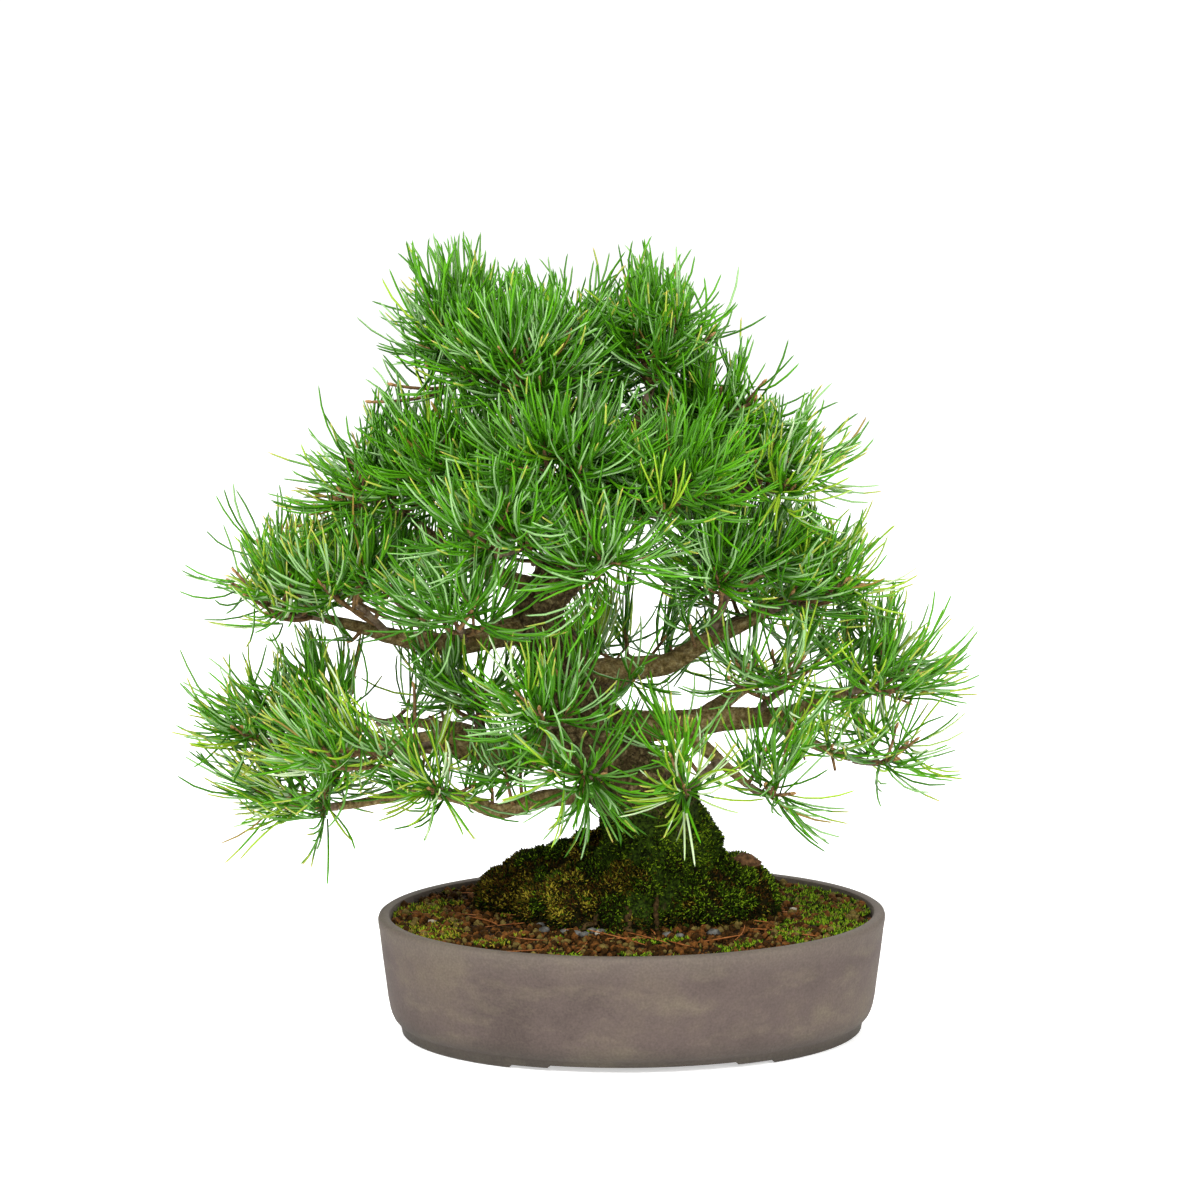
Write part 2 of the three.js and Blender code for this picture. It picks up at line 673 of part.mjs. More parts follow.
// The origin goes to the bottom centre of the bounding box
const middle = new THREE.Box3().setFromObject(plant).getCenter(at(0, 0, 0));
plant.position.set(-middle.x, -middle.y, 0);
const bonsai = new THREE.Group();
bonsai.add(plant);

export default bonsai;
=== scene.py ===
# %% [markdown]
# # A Japanese white pine bonsai in an oval pot
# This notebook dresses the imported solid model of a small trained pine. The solids give the
# places, and the cells below give what the eye reads: bark, moss, soil, stoneware and needles.
# Lengths are typed in millimetres, because that is how a pot or a needle is measured, and one
# factor turns them into Blender's metres.

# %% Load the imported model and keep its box
import json
import math

import bmesh
import bpy
import numpy as np
from mathutils import Euler, Matrix, Vector, kdtree, noise

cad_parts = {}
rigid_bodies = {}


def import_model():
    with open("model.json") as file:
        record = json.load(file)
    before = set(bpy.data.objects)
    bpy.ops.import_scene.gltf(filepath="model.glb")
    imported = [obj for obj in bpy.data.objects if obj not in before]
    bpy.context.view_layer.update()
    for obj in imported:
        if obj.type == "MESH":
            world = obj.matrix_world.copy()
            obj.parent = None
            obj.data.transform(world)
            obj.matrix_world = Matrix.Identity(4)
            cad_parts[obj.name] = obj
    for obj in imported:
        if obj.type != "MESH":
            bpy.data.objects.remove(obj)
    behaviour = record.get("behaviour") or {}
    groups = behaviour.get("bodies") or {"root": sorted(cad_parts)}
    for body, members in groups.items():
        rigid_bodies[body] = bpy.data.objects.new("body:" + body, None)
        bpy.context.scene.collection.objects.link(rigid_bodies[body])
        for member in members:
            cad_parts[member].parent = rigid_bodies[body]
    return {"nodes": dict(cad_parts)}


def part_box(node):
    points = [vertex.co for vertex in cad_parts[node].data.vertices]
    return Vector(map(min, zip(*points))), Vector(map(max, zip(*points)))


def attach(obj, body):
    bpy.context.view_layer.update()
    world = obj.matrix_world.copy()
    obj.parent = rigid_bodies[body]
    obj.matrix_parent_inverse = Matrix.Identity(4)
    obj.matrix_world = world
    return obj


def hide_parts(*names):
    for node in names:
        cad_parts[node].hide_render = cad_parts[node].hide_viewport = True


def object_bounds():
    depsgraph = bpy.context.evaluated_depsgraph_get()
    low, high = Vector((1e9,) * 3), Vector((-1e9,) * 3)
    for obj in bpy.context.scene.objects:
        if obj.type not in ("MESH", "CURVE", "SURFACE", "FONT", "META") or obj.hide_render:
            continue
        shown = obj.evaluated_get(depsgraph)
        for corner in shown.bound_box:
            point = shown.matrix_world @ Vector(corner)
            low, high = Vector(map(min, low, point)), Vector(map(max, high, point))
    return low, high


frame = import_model()
cad_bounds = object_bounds()
MM = 0.001
pot_low, pot_high = (np.array(corner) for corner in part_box("pot"))
POT_MIDDLE = (pot_low + pot_high) / 2 * [1, 1, 0]
print("nodes", len(frame["nodes"]), "pot's middle in m", POT_MIDDLE.round(5))

# %% [markdown]
# ## Small helpers
# Places in the source are measured from the middle of the pot's underside. `part_metres`
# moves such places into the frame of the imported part, and `part_mm` brings them back. A
# piece made of thousands of equal parts is filled from arrays in one go, because adding
# faces one by one would take minutes.


# %% Places, directions, shares and noise
def part_metres(places):
    return np.asarray(places, dtype=float) * MM + POT_MIDDLE


def part_mm(places):
    return (np.asarray(places, dtype=float) - POT_MIDDLE) / MM


def between(low, high, share):
    return low + (high - low) * share


def unit(vectors):
    vectors = np.asarray(vectors, dtype=float)
    return vectors / np.maximum(np.linalg.norm(vectors, axis=-1, keepdims=True), 1e-9)


def ring_round(axes, angles, hint):
    """Directions square to each axis. The hint is any other direction, to count from."""
    side = unit(np.cross(axes, hint))
    other = np.cross(axes, side)
    return side * np.cos(angles)[..., None] + other * np.sin(angles)[..., None]


def noise_at(places, size):
    """A smooth noise at each place, in waves of about so many mm."""
    return np.array([noise.noise(Vector(place) / size) for place in places])


def per_metre(size):
    """How often a pattern of so many mm fits into a metre, as a material counts."""
    return 1 / (size * MM)


def seeded(seed):
    """The source's own sequence from 0 to 1, so that the twigs grow where its solids are."""
    state = [seed & 0xFFFFFFFF]

    def draw():
        state[0] = (state[0] * 1664525 + 1013904223) & 0xFFFFFFFF
        return state[0] / 4294967296

    return draw


# %% Objects, bodies that can be shaped, and meshes
def linked(name, data):
    thing = bpy.data.objects.new(name, data)
    bpy.context.collection.objects.link(thing)
    return thing


def body_of(mesh):
    body = bmesh.new()
    body.from_mesh(mesh)
    return body


def mesh_of(body, mesh=None):
    if mesh is None:
        mesh = bpy.data.meshes.new("draft")
    body.to_mesh(mesh)
    body.free()
    return mesh


def finished_mesh(holder):
    """The mesh that an object's modifiers leave. The object itself is taken away."""
    evaluated = holder.evaluated_get(bpy.context.evaluated_depsgraph_get())
    mesh = bpy.data.meshes.new_from_object(evaluated)
    bpy.data.objects.remove(holder)
    return mesh


def rows_of(mesh, what):
    """The places ("co") or directions ("normal") of a mesh's corners, as rows of three."""
    flat = np.empty(len(mesh.vertices) * 3)
    mesh.vertices.foreach_get(what, flat)
    return flat.reshape(-1, 3)


def whole(body):
    return body.verts[:] + body.edges[:] + body.faces[:]


def cut_flat(body, height, upward):
    """Take off what lies above a height in mm (upward 1) or below it (-1), and close it."""
    cut = bmesh.ops.bisect_plane(
        body, geom=whole(body), plane_co=part_metres([0, 0, height]),
        plane_no=(0, 0, upward), clear_outer=True,
    )
    rim = [edge for edge in cut["geom_cut"] if isinstance(edge, bmesh.types.BMEdge)]
    bmesh.ops.holes_fill(body, edges=rim, sides=0)


def tree_of(points):
    """A search tree, which finds the nearest of many points without trying each."""
    tree = kdtree.KDTree(len(points))
    for number, point in enumerate(points):
        tree.insert(point, number)
    tree.balance()
    return tree


# %% Put a mesh into the scene as a piece that rides on the plant
def add_piece(name, mesh, materials, replaced=(), smooth=True):
    mesh.name = name
    piece = linked(name, mesh)
    for material in materials:
        mesh.materials.append(material)
    if smooth:
        mesh.shade_smooth()
    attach(piece, "root")
    if replaced:
        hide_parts(*replaced)
    print(name, sum(len(p.vertices) - 2 for p in mesh.polygons), "triangles")


# %% Fill a mesh from many copies of one small part
def mesh_of_copies(corners, faces, colours=None):
    """corners: copies x vertices x 3 in mm. faces: the vertex numbers of one copy's faces.
    colours: material numbers, one for each copy or copies x faces."""
    copies, per_copy = corners.shape[:2]
    loops = np.concatenate([np.array(face) for face in faces])
    totals = np.tile([len(face) for face in faces], copies)
    starts = np.arange(copies)[:, None] * per_copy
    mesh = bpy.data.meshes.new("copies")
    mesh.vertices.add(copies * per_copy)
    mesh.vertices.foreach_set("co", part_metres(corners.reshape(-1, 3)).ravel())
    mesh.loops.add(copies * len(loops))
    mesh.loops.foreach_set("vertex_index", (starts + loops).ravel().astype(np.int32))
    mesh.polygons.add(copies * len(faces))
    mesh.polygons.foreach_set("loop_start", (np.cumsum(totals) - totals).astype(np.int32))
    if colours is not None:
        numbers = np.broadcast_to(colours.reshape(copies, -1), (copies, len(faces)))
        mesh.polygons.foreach_set("material_index", numbers.ravel().astype(np.int32))
    mesh.update(calc_edges=True)
    return mesh


def shape_arrays(body):
    """One small body's corners and faces, to be copied."""
    body.verts.ensure_lookup_table()
    corners = np.array([corner.co[:] for corner in body.verts])
    faces = [tuple(corner.index for corner in face.verts) for face in body.faces]
    body.free()
    return corners, faces


def set_along(shape, places, axes, sizes, spins):
    """Copies of a shape, each with its own upward axis, place, size and turn."""
    axes = unit(axes)
    right = ring_round(axes, spins, [0.21, 0.37, 0.9])
    frames = np.stack([right, np.cross(axes, right), axes], axis=1)
    return places[:, None] + np.einsum("vk,nkd->nvd", shape, frames) * sizes[:, None, None]


# %% Make round tubes along routes, each as a curve with a radius at every point
MERGE = 1e-6


def mesh_of_tubes(routes, resolution):
    """routes: pairs of places (n x 3, mm) and radii (n, mm). The ends are closed."""
    curve = bpy.data.curves.new("tubes", "CURVE")
    curve.dimensions = "3D"
    curve.bevel_depth = MM
    curve.bevel_resolution = resolution
    curve.use_fill_caps = True
    for places, radii in routes:
        spline = curve.splines.new("POLY")
        spline.points.add(len(places) - 1)
        metres = np.column_stack([part_metres(places), np.ones(len(places))])
        spline.points.foreach_set("co", metres.ravel())
        spline.points.foreach_set("radius", np.asarray(radii, dtype=float))
    mesh = finished_mesh(linked("tubes", curve))
    bpy.data.curves.remove(curve)
    body = body_of(mesh)
    bmesh.ops.remove_doubles(body, verts=body.verts, dist=MERGE)
    bmesh.ops.recalc_face_normals(body, faces=body.faces)
    return mesh_of(body, mesh)


# %% [markdown]
# ## Camera, floor and light
# The pot is seen a little from above, from about three metres away, so that its rim shows
# as a flat oval. A long lens from that distance keeps near and far needles almost the same
# size. The tree stands left of the middle of the picture, and its pot right of it, which a
# small sideways shift of the lens gives without turning the camera. The studio is a white
# table under broad soft lamps: one high in front on the left, weaker ones on the right and
# behind, and a white room all round.

# %% The camera: places in mm, its tilt in degrees, and the photograph's own pixels
CAMERA_AWAY = 3140.4
CAMERA_HEIGHT = 859.4
CAMERA_DOWN = 9.942
FOCAL_PIXELS = 4550.7
PICTURE = 1200
POT_PIXEL = 632.07
SENSOR = 36

camera = linked("camera", bpy.data.cameras.new("camera"))
camera.location = part_metres([0, -CAMERA_AWAY, CAMERA_HEIGHT])
camera.rotation_euler = Euler((math.radians(90 - CAMERA_DOWN), 0, 0))
camera.data.sensor_width = SENSOR
camera.data.lens = SENSOR * FOCAL_PIXELS / PICTURE
camera.data.shift_x = -(POT_PIXEL - PICTURE / 2) / PICTURE
camera.data.clip_end = 50
bpy.context.scene.camera = camera
print("lens", round(camera.data.lens, 1), "mm, shift", round(camera.data.shift_x, 4))


# %% A colour as it is typed on a screen, turned into the light that Blender counts with
def colour(text):
    channels = [int(text[i : i + 2], 16) / 255 for i in (1, 3, 5)]
    light = [c / 12.92 if c <= 0.04045 else ((c + 0.055) / 1.055) ** 2.4 for c in channels]
    return (*light, 1.0)


# %% Add one node, with its settings, what its sockets are given, and a ramp's colours
COLOUR_A, COLOUR_B, MIXED = 6, 7, 2  # where a Mix node keeps two colours and their mixture


def add(tree, kind, sockets=None, stops=(), **settings):
    node = tree.nodes.new("ShaderNode" + kind)
    for name, value in settings.items():
        setattr(node, name, value)
    for name, value in (sockets or {}).items():
        if isinstance(value, bpy.types.NodeSocket):
            tree.links.new(value, node.inputs[name])
        else:
            node.inputs[name].default_value = value
    if stops:
        elements = node.color_ramp.elements
        for element, (position, text) in zip(elements, (stops[0], stops[-1])):
            element.position = position
            element.color = colour(text)
        for position, text in stops[1:-1]:
            elements.new(position).color = colour(text)
    return node


# %% A material of one shader, and the colour and relief that nodes give it
def new_material(name, **sockets):
    material = bpy.data.materials.new(name)
    material.use_nodes = True
    tree = material.node_tree
    shader = tree.nodes["Principled BSDF"]
    for socket, value in sockets.items():
        shader.inputs[socket.replace("_", " ")].default_value = value
    return material, tree, shader


def give_surface(tree, shader, last_colour, height, distance, strength):
    bump = add(tree, "Bump", {"Height": height, "Distance": distance, "Strength": strength})
    tree.links.new(last_colour, shader.inputs["Base Color"])
    tree.links.new(bump.outputs[0], shader.inputs["Normal"])


def plain_materials(colours, roughness, specular):
    """One material of a single colour for each name in a table."""
    return [
        new_material(
            name, Base_Color=colour(text), Roughness=roughness, Specular_IOR_Level=specular
        )[0]
        for name, text in colours.items()
    ]


# %% The table, which isn't part of the plant
TABLE = 6.0
TABLE_GAP = 0.0004
WHITE = (1, 1, 1, 1)
table_shape = bmesh.new()
bmesh.ops.create_grid(table_shape, x_segments=1, y_segments=1, size=TABLE)
table = linked("table", mesh_of(table_shape))
table.location.z = -TABLE_GAP
# White laminate that glows a little, so that the table runs into the white room unseen
white_laminate, _, _ = new_material(
    "white_laminate_table", Base_Color=colour("#fafaf9"), Roughness=0.6,
    Emission_Color=WHITE, Emission_Strength=0.5,
)
table.data.materials.append(white_laminate)

# %% Lamps, with their places and sizes in metres and their watts, and the white room
LAMPS = [
    ("key", (-0.9, -1.7, 2.2), 1.3, 84),
    ("fill", (1.7, -1.6, 1.3), 1.6, 36),
    ("back", (0.3, 1.9, 1.8), 1.4, 36),
]
LAMPS_AIM = Vector((0, 0, 0.3))
for lamp_name, place, size, watts in LAMPS:
    light = bpy.data.lights.new(lamp_name, "AREA")
    light.shape = "DISK"
    light.size = size
    light.energy = watts
    lamp = linked(lamp_name, light)
    lamp.location = place
    lamp.rotation_euler = (LAMPS_AIM - Vector(place)).to_track_quat("-Z", "Y").to_euler()

BACKDROP_STRENGTH = 1.1
ROOM_STRENGTH = 0.62
room = bpy.data.worlds.new("white_room")
room.use_nodes = True
backdrop = room.node_tree.nodes["Background"]
backdrop.inputs["Color"].default_value = WHITE
seen = add(room.node_tree, "LightPath").outputs["Is Camera Ray"]
strengths = {"Value": seen, "To Min": ROOM_STRENGTH, "To Max": BACKDROP_STRENGTH}
strength = add(room.node_tree, "MapRange", strengths)
room.node_tree.links.new(strength.outputs[0], backdrop.inputs["Strength"])
bpy.context.scene.world = room
bpy.context.scene.view_settings.view_transform = "Standard"
print("lamps", [lamp[0] for lamp in LAMPS])

# %% [markdown]
# ## Unglazed stoneware
# The pot is fired clay with no glaze: a dull mauve grey with paler, olive and tan clouds
# where minerals from the water have dried and been wiped along the wall, and fine grit.
# Under the lip a thumb's width is paler, and the foot is darker and a little green. Noise
# and height, both in the object's own metres, give these, so they stay put from every side.

# %% The sizes of the stoneware's patterns, in mm
# Real grit is about half a millimetre, too fine to show from here, so it is drawn coarser
CLOUD = 75
WIPE = 17
WIPE_SLANT = math.radians(-14)
GRIT = 1.6
DENT = 6


# %% The stoneware material: matt all over, so that its clouds read as stains in the clay
def stoneware():
    material, tree, shader = new_material(
        "stoneware_unglazed", Roughness=0.78, Specular_IOR_Level=0.3
    )
    place = add(tree, "TexCoord").outputs["Object"]
    height = add(tree, "SeparateXYZ", {"Vector": place}).outputs["Z"]
    clouds = add(
        tree, "TexNoise",
        {"Vector": place, "Scale": per_metre(CLOUD), "Detail": 5, "Roughness": 0.6},
    )
    clay = add(
        tree, "ValToRGB", {"Fac": clouds.outputs["Fac"]},
        stops=[(0.36, "#483d38"), (0.52, "#524641"), (0.68, "#5b5045")],
    )
    level = add(
        tree, "Mapping",
        {"Vector": place, "Scale": (0.4, 0.4, 1), "Rotation": (0, WIPE_SLANT, 0)},
    )
    wipes = add(
        tree, "TexNoise",
        {"Vector": level.outputs[0], "Scale": per_metre(WIPE), "Detail": 6, "Roughness": 0.68},
    )
    last_colour = clay.outputs["Color"]
    # Wiped minerals, the pale band under the lip and the dark foot. Each row has what it
    # follows, where there is none of it and where most, its largest share and its colour
    for value, none, most, share, text in [
        (wipes.outputs["Fac"], 0.5, 0.8, 0.7, "#6b6250"),
        (height, 66 * MM, 84 * MM, 0.6, "#60574e"),
        (height, 22 * MM, 3 * MM, 0.75, "#35322a"),
    ]:
        amount = add(
            tree, "MapRange", {"Value": value, "From Min": none, "From Max": most, "To Max": share}
        )
        mixed = add(
            tree, "Mix",
            {"Factor": amount.outputs[0], COLOUR_A: last_colour, COLOUR_B: colour(text)},
            data_type="RGBA",
        )
        last_colour = mixed.outputs[MIXED]
    grit = add(tree, "TexNoise", {"Vector": place, "Scale": per_metre(GRIT), "Detail": 2})
    dents = add(tree, "TexNoise", {"Vector": place, "Scale": per_metre(DENT), "Detail": 4})
    specks = add(
        tree, "MapRange",
        {"Value": grit.outputs["Fac"], "From Min": 0.3, "From Max": 0.75,
         "To Min": 0.82, "To Max": 1.12},
    )
    speckled = add(
        tree, "VectorMath", {0: last_colour, "Scale": specks.outputs[0]}, operation="SCALE"
    )
    relief = add(
        tree, "Math", {0: grit.outputs["Fac"], 1: dents.outputs["Fac"]}, operation="ADD"
    )
    give_surface(tree, shader, speckled.outputs[0], relief.outputs[0], 0.4 * MM, 0.5)
    return material


stoneware_unglazed = stoneware()

# %% [markdown]
# ## The oval pot
# Such a pot is pressed in a mould and trimmed on a board: a flat rounded lip, a wall that
# leans out a little, and a recessed foot with low arches cut into its long sides. One spin
# of the wall's profile makes a round pot, and moving every corner sideways makes it oval
# with a wall of even thickness. Scaling the round pot instead would thin the long sides.

# %% The pot's sizes and its profile (radius, height), in millimetres
HALF_LENGTH = 180
HALF_WIDTH = 137
POT_TURN = math.radians(4)
FULL_RADIUS = 150
POT_PROFILE = [
    (0, 5), (151, 5), (152.2, 4.2), (152.6, 1), (153.6, 0), (162.6, 0), (163.6, 0.8),
    (164.8, 7), (165.6, 8.4), (167.4, 9.8), (169.2, 12), (170.8, 15.4), (172, 19.6),
    (173.2, 26), (174.6, 38), (177, 57), (178.9, 74), (179.8, 79.6), (180, 82.2),
    (179.3, 84.4), (177.6, 85.5), (173.6, 85.5), (172.2, 84.9), (171.5, 83.5), (169, 60),
    (162.6, 22), (160, 17), (156, 14), (0, 14),
]
POT_STEPS = 128
SHARP_ANGLE = math.radians(40)
# Each arch's height where a line across the pot meets the foot, outside a radius
ARCH_RISE = [(64, 3.8), (66, 2), (90, 2), (92, 0)]
ARCHES_BEYOND = 140
FOOT_TOP = 8
DRAIN_RADIUS = 15
DRAIN_FROM_MIDDLE = 72


# %% Turn a profile into a closed oval body
def half_width_at(radius):
    return radius - (HALF_LENGTH - HALF_WIDTH) * np.minimum(1, radius / FULL_RADIUS)


def oval_spin(profile, steps):
    body = bmesh.new()
    corners = [body.verts.new((radius, 0, height)) for radius, height in profile]
    lines = [body.edges.new(pair) for pair in zip(corners, corners[1:])]
    bmesh.ops.spin(
        body, geom=corners + lines, axis=(0, 0, 1), cent=(0, 0, 0),
        angle=2 * math.pi, steps=steps, use_merge=True,
    )
    bmesh.ops.remove_doubles(body, verts=body.verts, dist=0.01)
    for corner in body.verts:
        radius = math.hypot(corner.co.x, corner.co.y)
        angle = math.atan2(corner.co.y, corner.co.x)
        corner.co.x = radius * math.cos(angle)
        corner.co.y = float(half_width_at(radius)) * math.sin(angle)
    bmesh.ops.recalc_face_normals(body, faces=body.faces)
    return body


def settle(body):
    """Turn a body by the pot's own angle and bring it from millimetres to its place."""
    bmesh.ops.rotate(body, verts=body.verts, matrix=Matrix.Rotation(POT_TURN, 3, "Z"))
    for corner in body.verts:
        corner.co = part_metres(corner.co)


# %% Cut the arches into the foot, then the drains through the floor
def make_pot():
    body = oval_spin(POT_PROFILE, POT_STEPS)
    for x in [side * edge for edge, _ in ARCH_RISE for side in (-1, 1)]:
        bmesh.ops.bisect_plane(body, geom=whole(body), plane_co=(x, 0, 0), plane_no=(1, 0, 0))
    edges, rises = zip(*ARCH_RISE)
    for corner in body.verts:
        rise = np.interp(abs(corner.co.x), edges, rises)
        reach = math.hypot(corner.co.x, corner.co.y * HALF_LENGTH / HALF_WIDTH)
        if corner.co.z < FOOT_TOP and reach > ARCHES_BEYOND:
            corner.co.z += rise * (1 - corner.co.z / FOOT_TOP)
    drains = bmesh.new()
    for side in (-1, 1):
        drain = bmesh.ops.create_cone(
            drains, cap_ends=True, segments=32,
            radius1=DRAIN_RADIUS, radius2=DRAIN_RADIUS, depth=40,
        )
        bmesh.ops.translate(drains, verts=drain["verts"], vec=(side * DRAIN_FROM_MIDDLE, 0, 10))
    settle(body)
    settle(drains)
    pot = linked("pot_draft", mesh_of(body))
    cutter = linked("drains", mesh_of(drains))
    cut = pot.modifiers.new("drains", "BOOLEAN")
    cut.object = cutter
    cut.operation = "DIFFERENCE"
    cut.solver = "EXACT"
    mesh = finished_mesh(pot)
    bpy.data.objects.remove(cutter)
    mesh.materials.clear()
    mesh.shade_smooth()
    mesh.set_sharp_from_angle(angle=SHARP_ANGLE)
    return mesh


add_piece("pot_stoneware", make_pot(), [stoneware_unglazed], ["pot"], smooth=False)

# %% [markdown]
# ## Limbs: the trunk and its boughs
# A trained trunk rises from a broad flare, leans and bends left, turns back to the right
# and thins out towards its top, and every bough tapers from the trunk to its tip. Each limb
# is a route through a few places with a radius at each. A smooth curve through the places
# is sampled evenly, and later cells ask it where a twig may leave the wood.

# %% The trunk's route with its radii, and each bough's name, end radii and route, in mm
TRUNK_ROUTE = [
    (8, 20, 57), (8, 20, 81), (12, 20, 104), (15, 19, 128), (13, 15, 148), (6, 9, 166),
    (-8, 3, 185), (-22, -1, 205), (-35, -3, 228), (-43, -3, 250), (-54, -1, 270),
    (-66, 1, 290), (-63, 2, 308), (-51, 3, 325), (-40, 3, 349), (-34, 1, 372),
    (-30, -2, 402), (-33, -4, 430), (-35, -1, 452),
]
TRUNK_RADII = [
    80, 70, 58, 47, 38, 33.5, 31, 28, 25.5, 24, 22, 19.5, 18, 16.5, 14.5, 12.5, 10, 8, 6,
]
BOUGHS = {
    "left_low": (8, 3.4, [
        (2, 12, 172), (-36, -2, 170), (-68, -12, 168), (-94, -15, 161), (-119, -10, 169),
        (-153, -2, 172), (-188, 0, 164), (-208, 0, 161)]),
    "left_main": (17, 4.4, [
        (-24, 0, 208), (-56, -4, 206), (-82, -5, 201), (-113, 2, 204), (-146, 8, 205),
        (-178, 10, 201), (-210, 8, 203)]),
    "left_mid": (12, 3.4, [
        (-64, 1, 290), (-93, -8, 286), (-124, -10, 280), (-158, -2, 281), (-192, 0, 290),
        (-216, 0, 296)]),
    "left_upper": (8.5, 3.2, [
        (-58, 4, 314), (-86, 8, 322), (-117, 9, 335), (-141, 5, 354), (-156, 0, 368)]),
    "top_left": (6, 3, [(-33, -4, 424), (-56, -6, 441), (-82, -6, 455), (-98, -2, 466)]),
    "top_right": (6.5, 3, [(-31, -3, 404), (-10, -8, 420), (3, -13, 435), (9, -13, 449)]),
    "right_upper": (8, 3.2, [(-33, 0, 380), (8, 0, 379), (44, 0, 381), (72, 0, 386)]),
    "right_mid": (11, 4, [
        (-46, -4, 256), (5, -2, 261), (27, 0, 264), (49, 0, 278), (75, 5, 289),
        (96, 6, 300)]),
    "right_low": (14, 4, [
        (-28, -2, 218), (13, 0, 219), (40, 0, 221), (66, 0, 224), (108, 0, 227),
        (131, 0, 237), (150, 0, 243)]),
    "right_under": (6, 2.8, [(96, 0, 226), (114, 2, 213), (136, 2, 202), (156, 1, 195)]),
    "right_lowest": (7, 3, [(30, -1, 220), (48, -16, 209), (66, -32, 196), (82, -40, 184)]),
    "back_low": (10, 3.6, [(-37, -3, 232), (-22, 40, 232), (-6, 80, 234), (2, 108, 238)]),
    "back_left": (8, 3.2, [
        (-98, 0, 202), (-118, 36, 207), (-144, 72, 205), (-164, 96, 203)]),
    "back_right": (8, 3.2, [(46, 0, 222), (64, 36, 228), (80, 72, 231), (90, 94, 231)]),
    "back_mid": (9, 3.4, [(-63, 3, 306), (-64, 40, 311), (-66, 78, 315), (-66, 102, 319)]),
}
GROUND = 81


# %% A limb is a curve that is sampled evenly, with its radius and direction at any share
def run_along(places):
    """How far along a route each of its places is, in mm."""
    steps = np.linalg.norm(np.diff(places, axis=0), axis=1)
    return np.concatenate([[0], np.cumsum(steps)])


class Limb:
    SPAN_STEPS = 24
    AHEAD = 0.005

    def __init__(self, route, radii):
        self.places = self.through(np.array(route, dtype=float))
        self.shares = run_along(self.places)
        self.length = self.shares[-1]
        self.shares /= self.length
        knots = np.arange(len(self.places)) / self.SPAN_STEPS
        if len(radii) == 2:
            self.radii = between(*radii, self.shares)
        else:
            self.radii = np.interp(knots, np.arange(len(radii)), radii)

    def through(self, route):
        """A centripetal Catmull-Rom curve, which never loops between two close places."""
        padded = np.vstack([2 * route[0] - route[1], route, 2 * route[-1] - route[-2]])
        places = []
        for i in range(len(route) - 1):
            a, b, c, d = padded[i : i + 4]
            ab, bc, cd = (math.sqrt(np.linalg.norm(q - p)) for p, q in ((a, b), (b, c), (c, d)))
            leave = ((b - a) / ab - (c - a) / (ab + bc) + (c - b) / bc) * bc
            arrive = ((c - b) / bc - (d - b) / (bc + cd) + (d - c) / cd) * bc
            for t in np.arange(self.SPAN_STEPS) / self.SPAN_STEPS:
                cubic = 2 * b - 2 * c + leave + arrive
                square = 3 * c - 3 * b - 2 * leave - arrive
                places.append(b + leave * t + square * t**2 + cubic * t**3)
        return np.array(places + [route[-1]])

    def at(self, share):
        return np.array([np.interp(share, self.shares, self.places[:, k]) for k in range(3)]).T

    def radius(self, share):
        return np.interp(share, self.shares, self.radii)

    def tangent(self, share):
        ahead = self.at(min(1, share + self.AHEAD))
        return unit(ahead - self.at(max(0, share - self.AHEAD)))


limbs = {"trunk": Limb(TRUNK_ROUTE, TRUNK_RADII)}
for name, (thick, thin, route) in BOUGHS.items():
    limbs[name] = Limb(route, (thick, thin))
print("wood", round(sum(limb.length for limb in limbs.values())), "mm in", len(limbs), "limbs")

# %% [markdown]
# ## Old pine bark
# The bark of an old white pine flakes into small grey-brown plates with darker seams between
# them, and moss creeps up the foot of the trunk and sits on whatever faces the sky. The
# plates are cells on coordinates that a noise has pushed about, so that no two are alike,
# and moss is mixed in by height and by how far the surface looks up.

# %% How high the moss climbs, in metres above the table, and its patterns in mm
# The leaves of moss are finer than a millimetre, and are drawn coarser so that they show
MOSS_THICK_BELOW = 0.150
MOSS_GONE_ABOVE = 0.240
MOSS_PATCH = 16
MOSS_GRAIN = 2


# %% Mix moss into a bark's colour
def with_moss(tree, place, bark_colour):
    normal = add(tree, "NewGeometry").outputs["Normal"]
    upward = add(tree, "SeparateXYZ", {"Vector": normal}).outputs["Z"]
    height = add(tree, "SeparateXYZ", {"Vector": place}).outputs["Z"]
    low = add(
        tree, "MapRange",
        {"Value": height, "From Min": MOSS_THICK_BELOW, "From Max": MOSS_GONE_ABOVE,
         "To Min": 0.6, "To Max": -0.02},
    )
    patches = add(
        tree, "TexNoise",
        {"Vector": place, "Scale": per_metre(MOSS_PATCH), "Detail": 4, "Roughness": 0.65},
    )
    skyward = add(
        tree, "Math", {0: upward, 1: 0.16, 2: low.outputs[0]}, operation="MULTIPLY_ADD"
    )
    likely = add(
        tree, "Math", {0: patches.outputs["Fac"], 1: skyward.outputs[0]}, operation="ADD"
    )
    share = add(
        tree, "MapRange", {"Value": likely.outputs[0], "From Min": 0.86, "From Max": 1.0}
    )
    grain = add(tree, "TexNoise", {"Vector": place, "Scale": per_metre(MOSS_GRAIN), "Detail": 3})
    moss = add(
        tree, "ValToRGB", {"Fac": grain.outputs["Fac"]},
        stops=[(0.38, "#0f1603"), (0.68, "#384d10")],
    )
    finished = add(
        tree, "Mix",
        {"Factor": share.outputs[0], COLOUR_A: bark_colour, COLOUR_B: moss.outputs["Color"]},
        data_type="RGBA",
    )
    return finished.outputs[MIXED]


# %% Bark that is dry and matt: pushed coordinates, plates and seams
# Sizes in mm: the push and its waves, and the grain, which is coarser than life so as to show
BARK_PUSH = 7
BARK_WAVES = 6
BARK_GRAIN = 3.8
SEAM_BROWN = "#281e10"


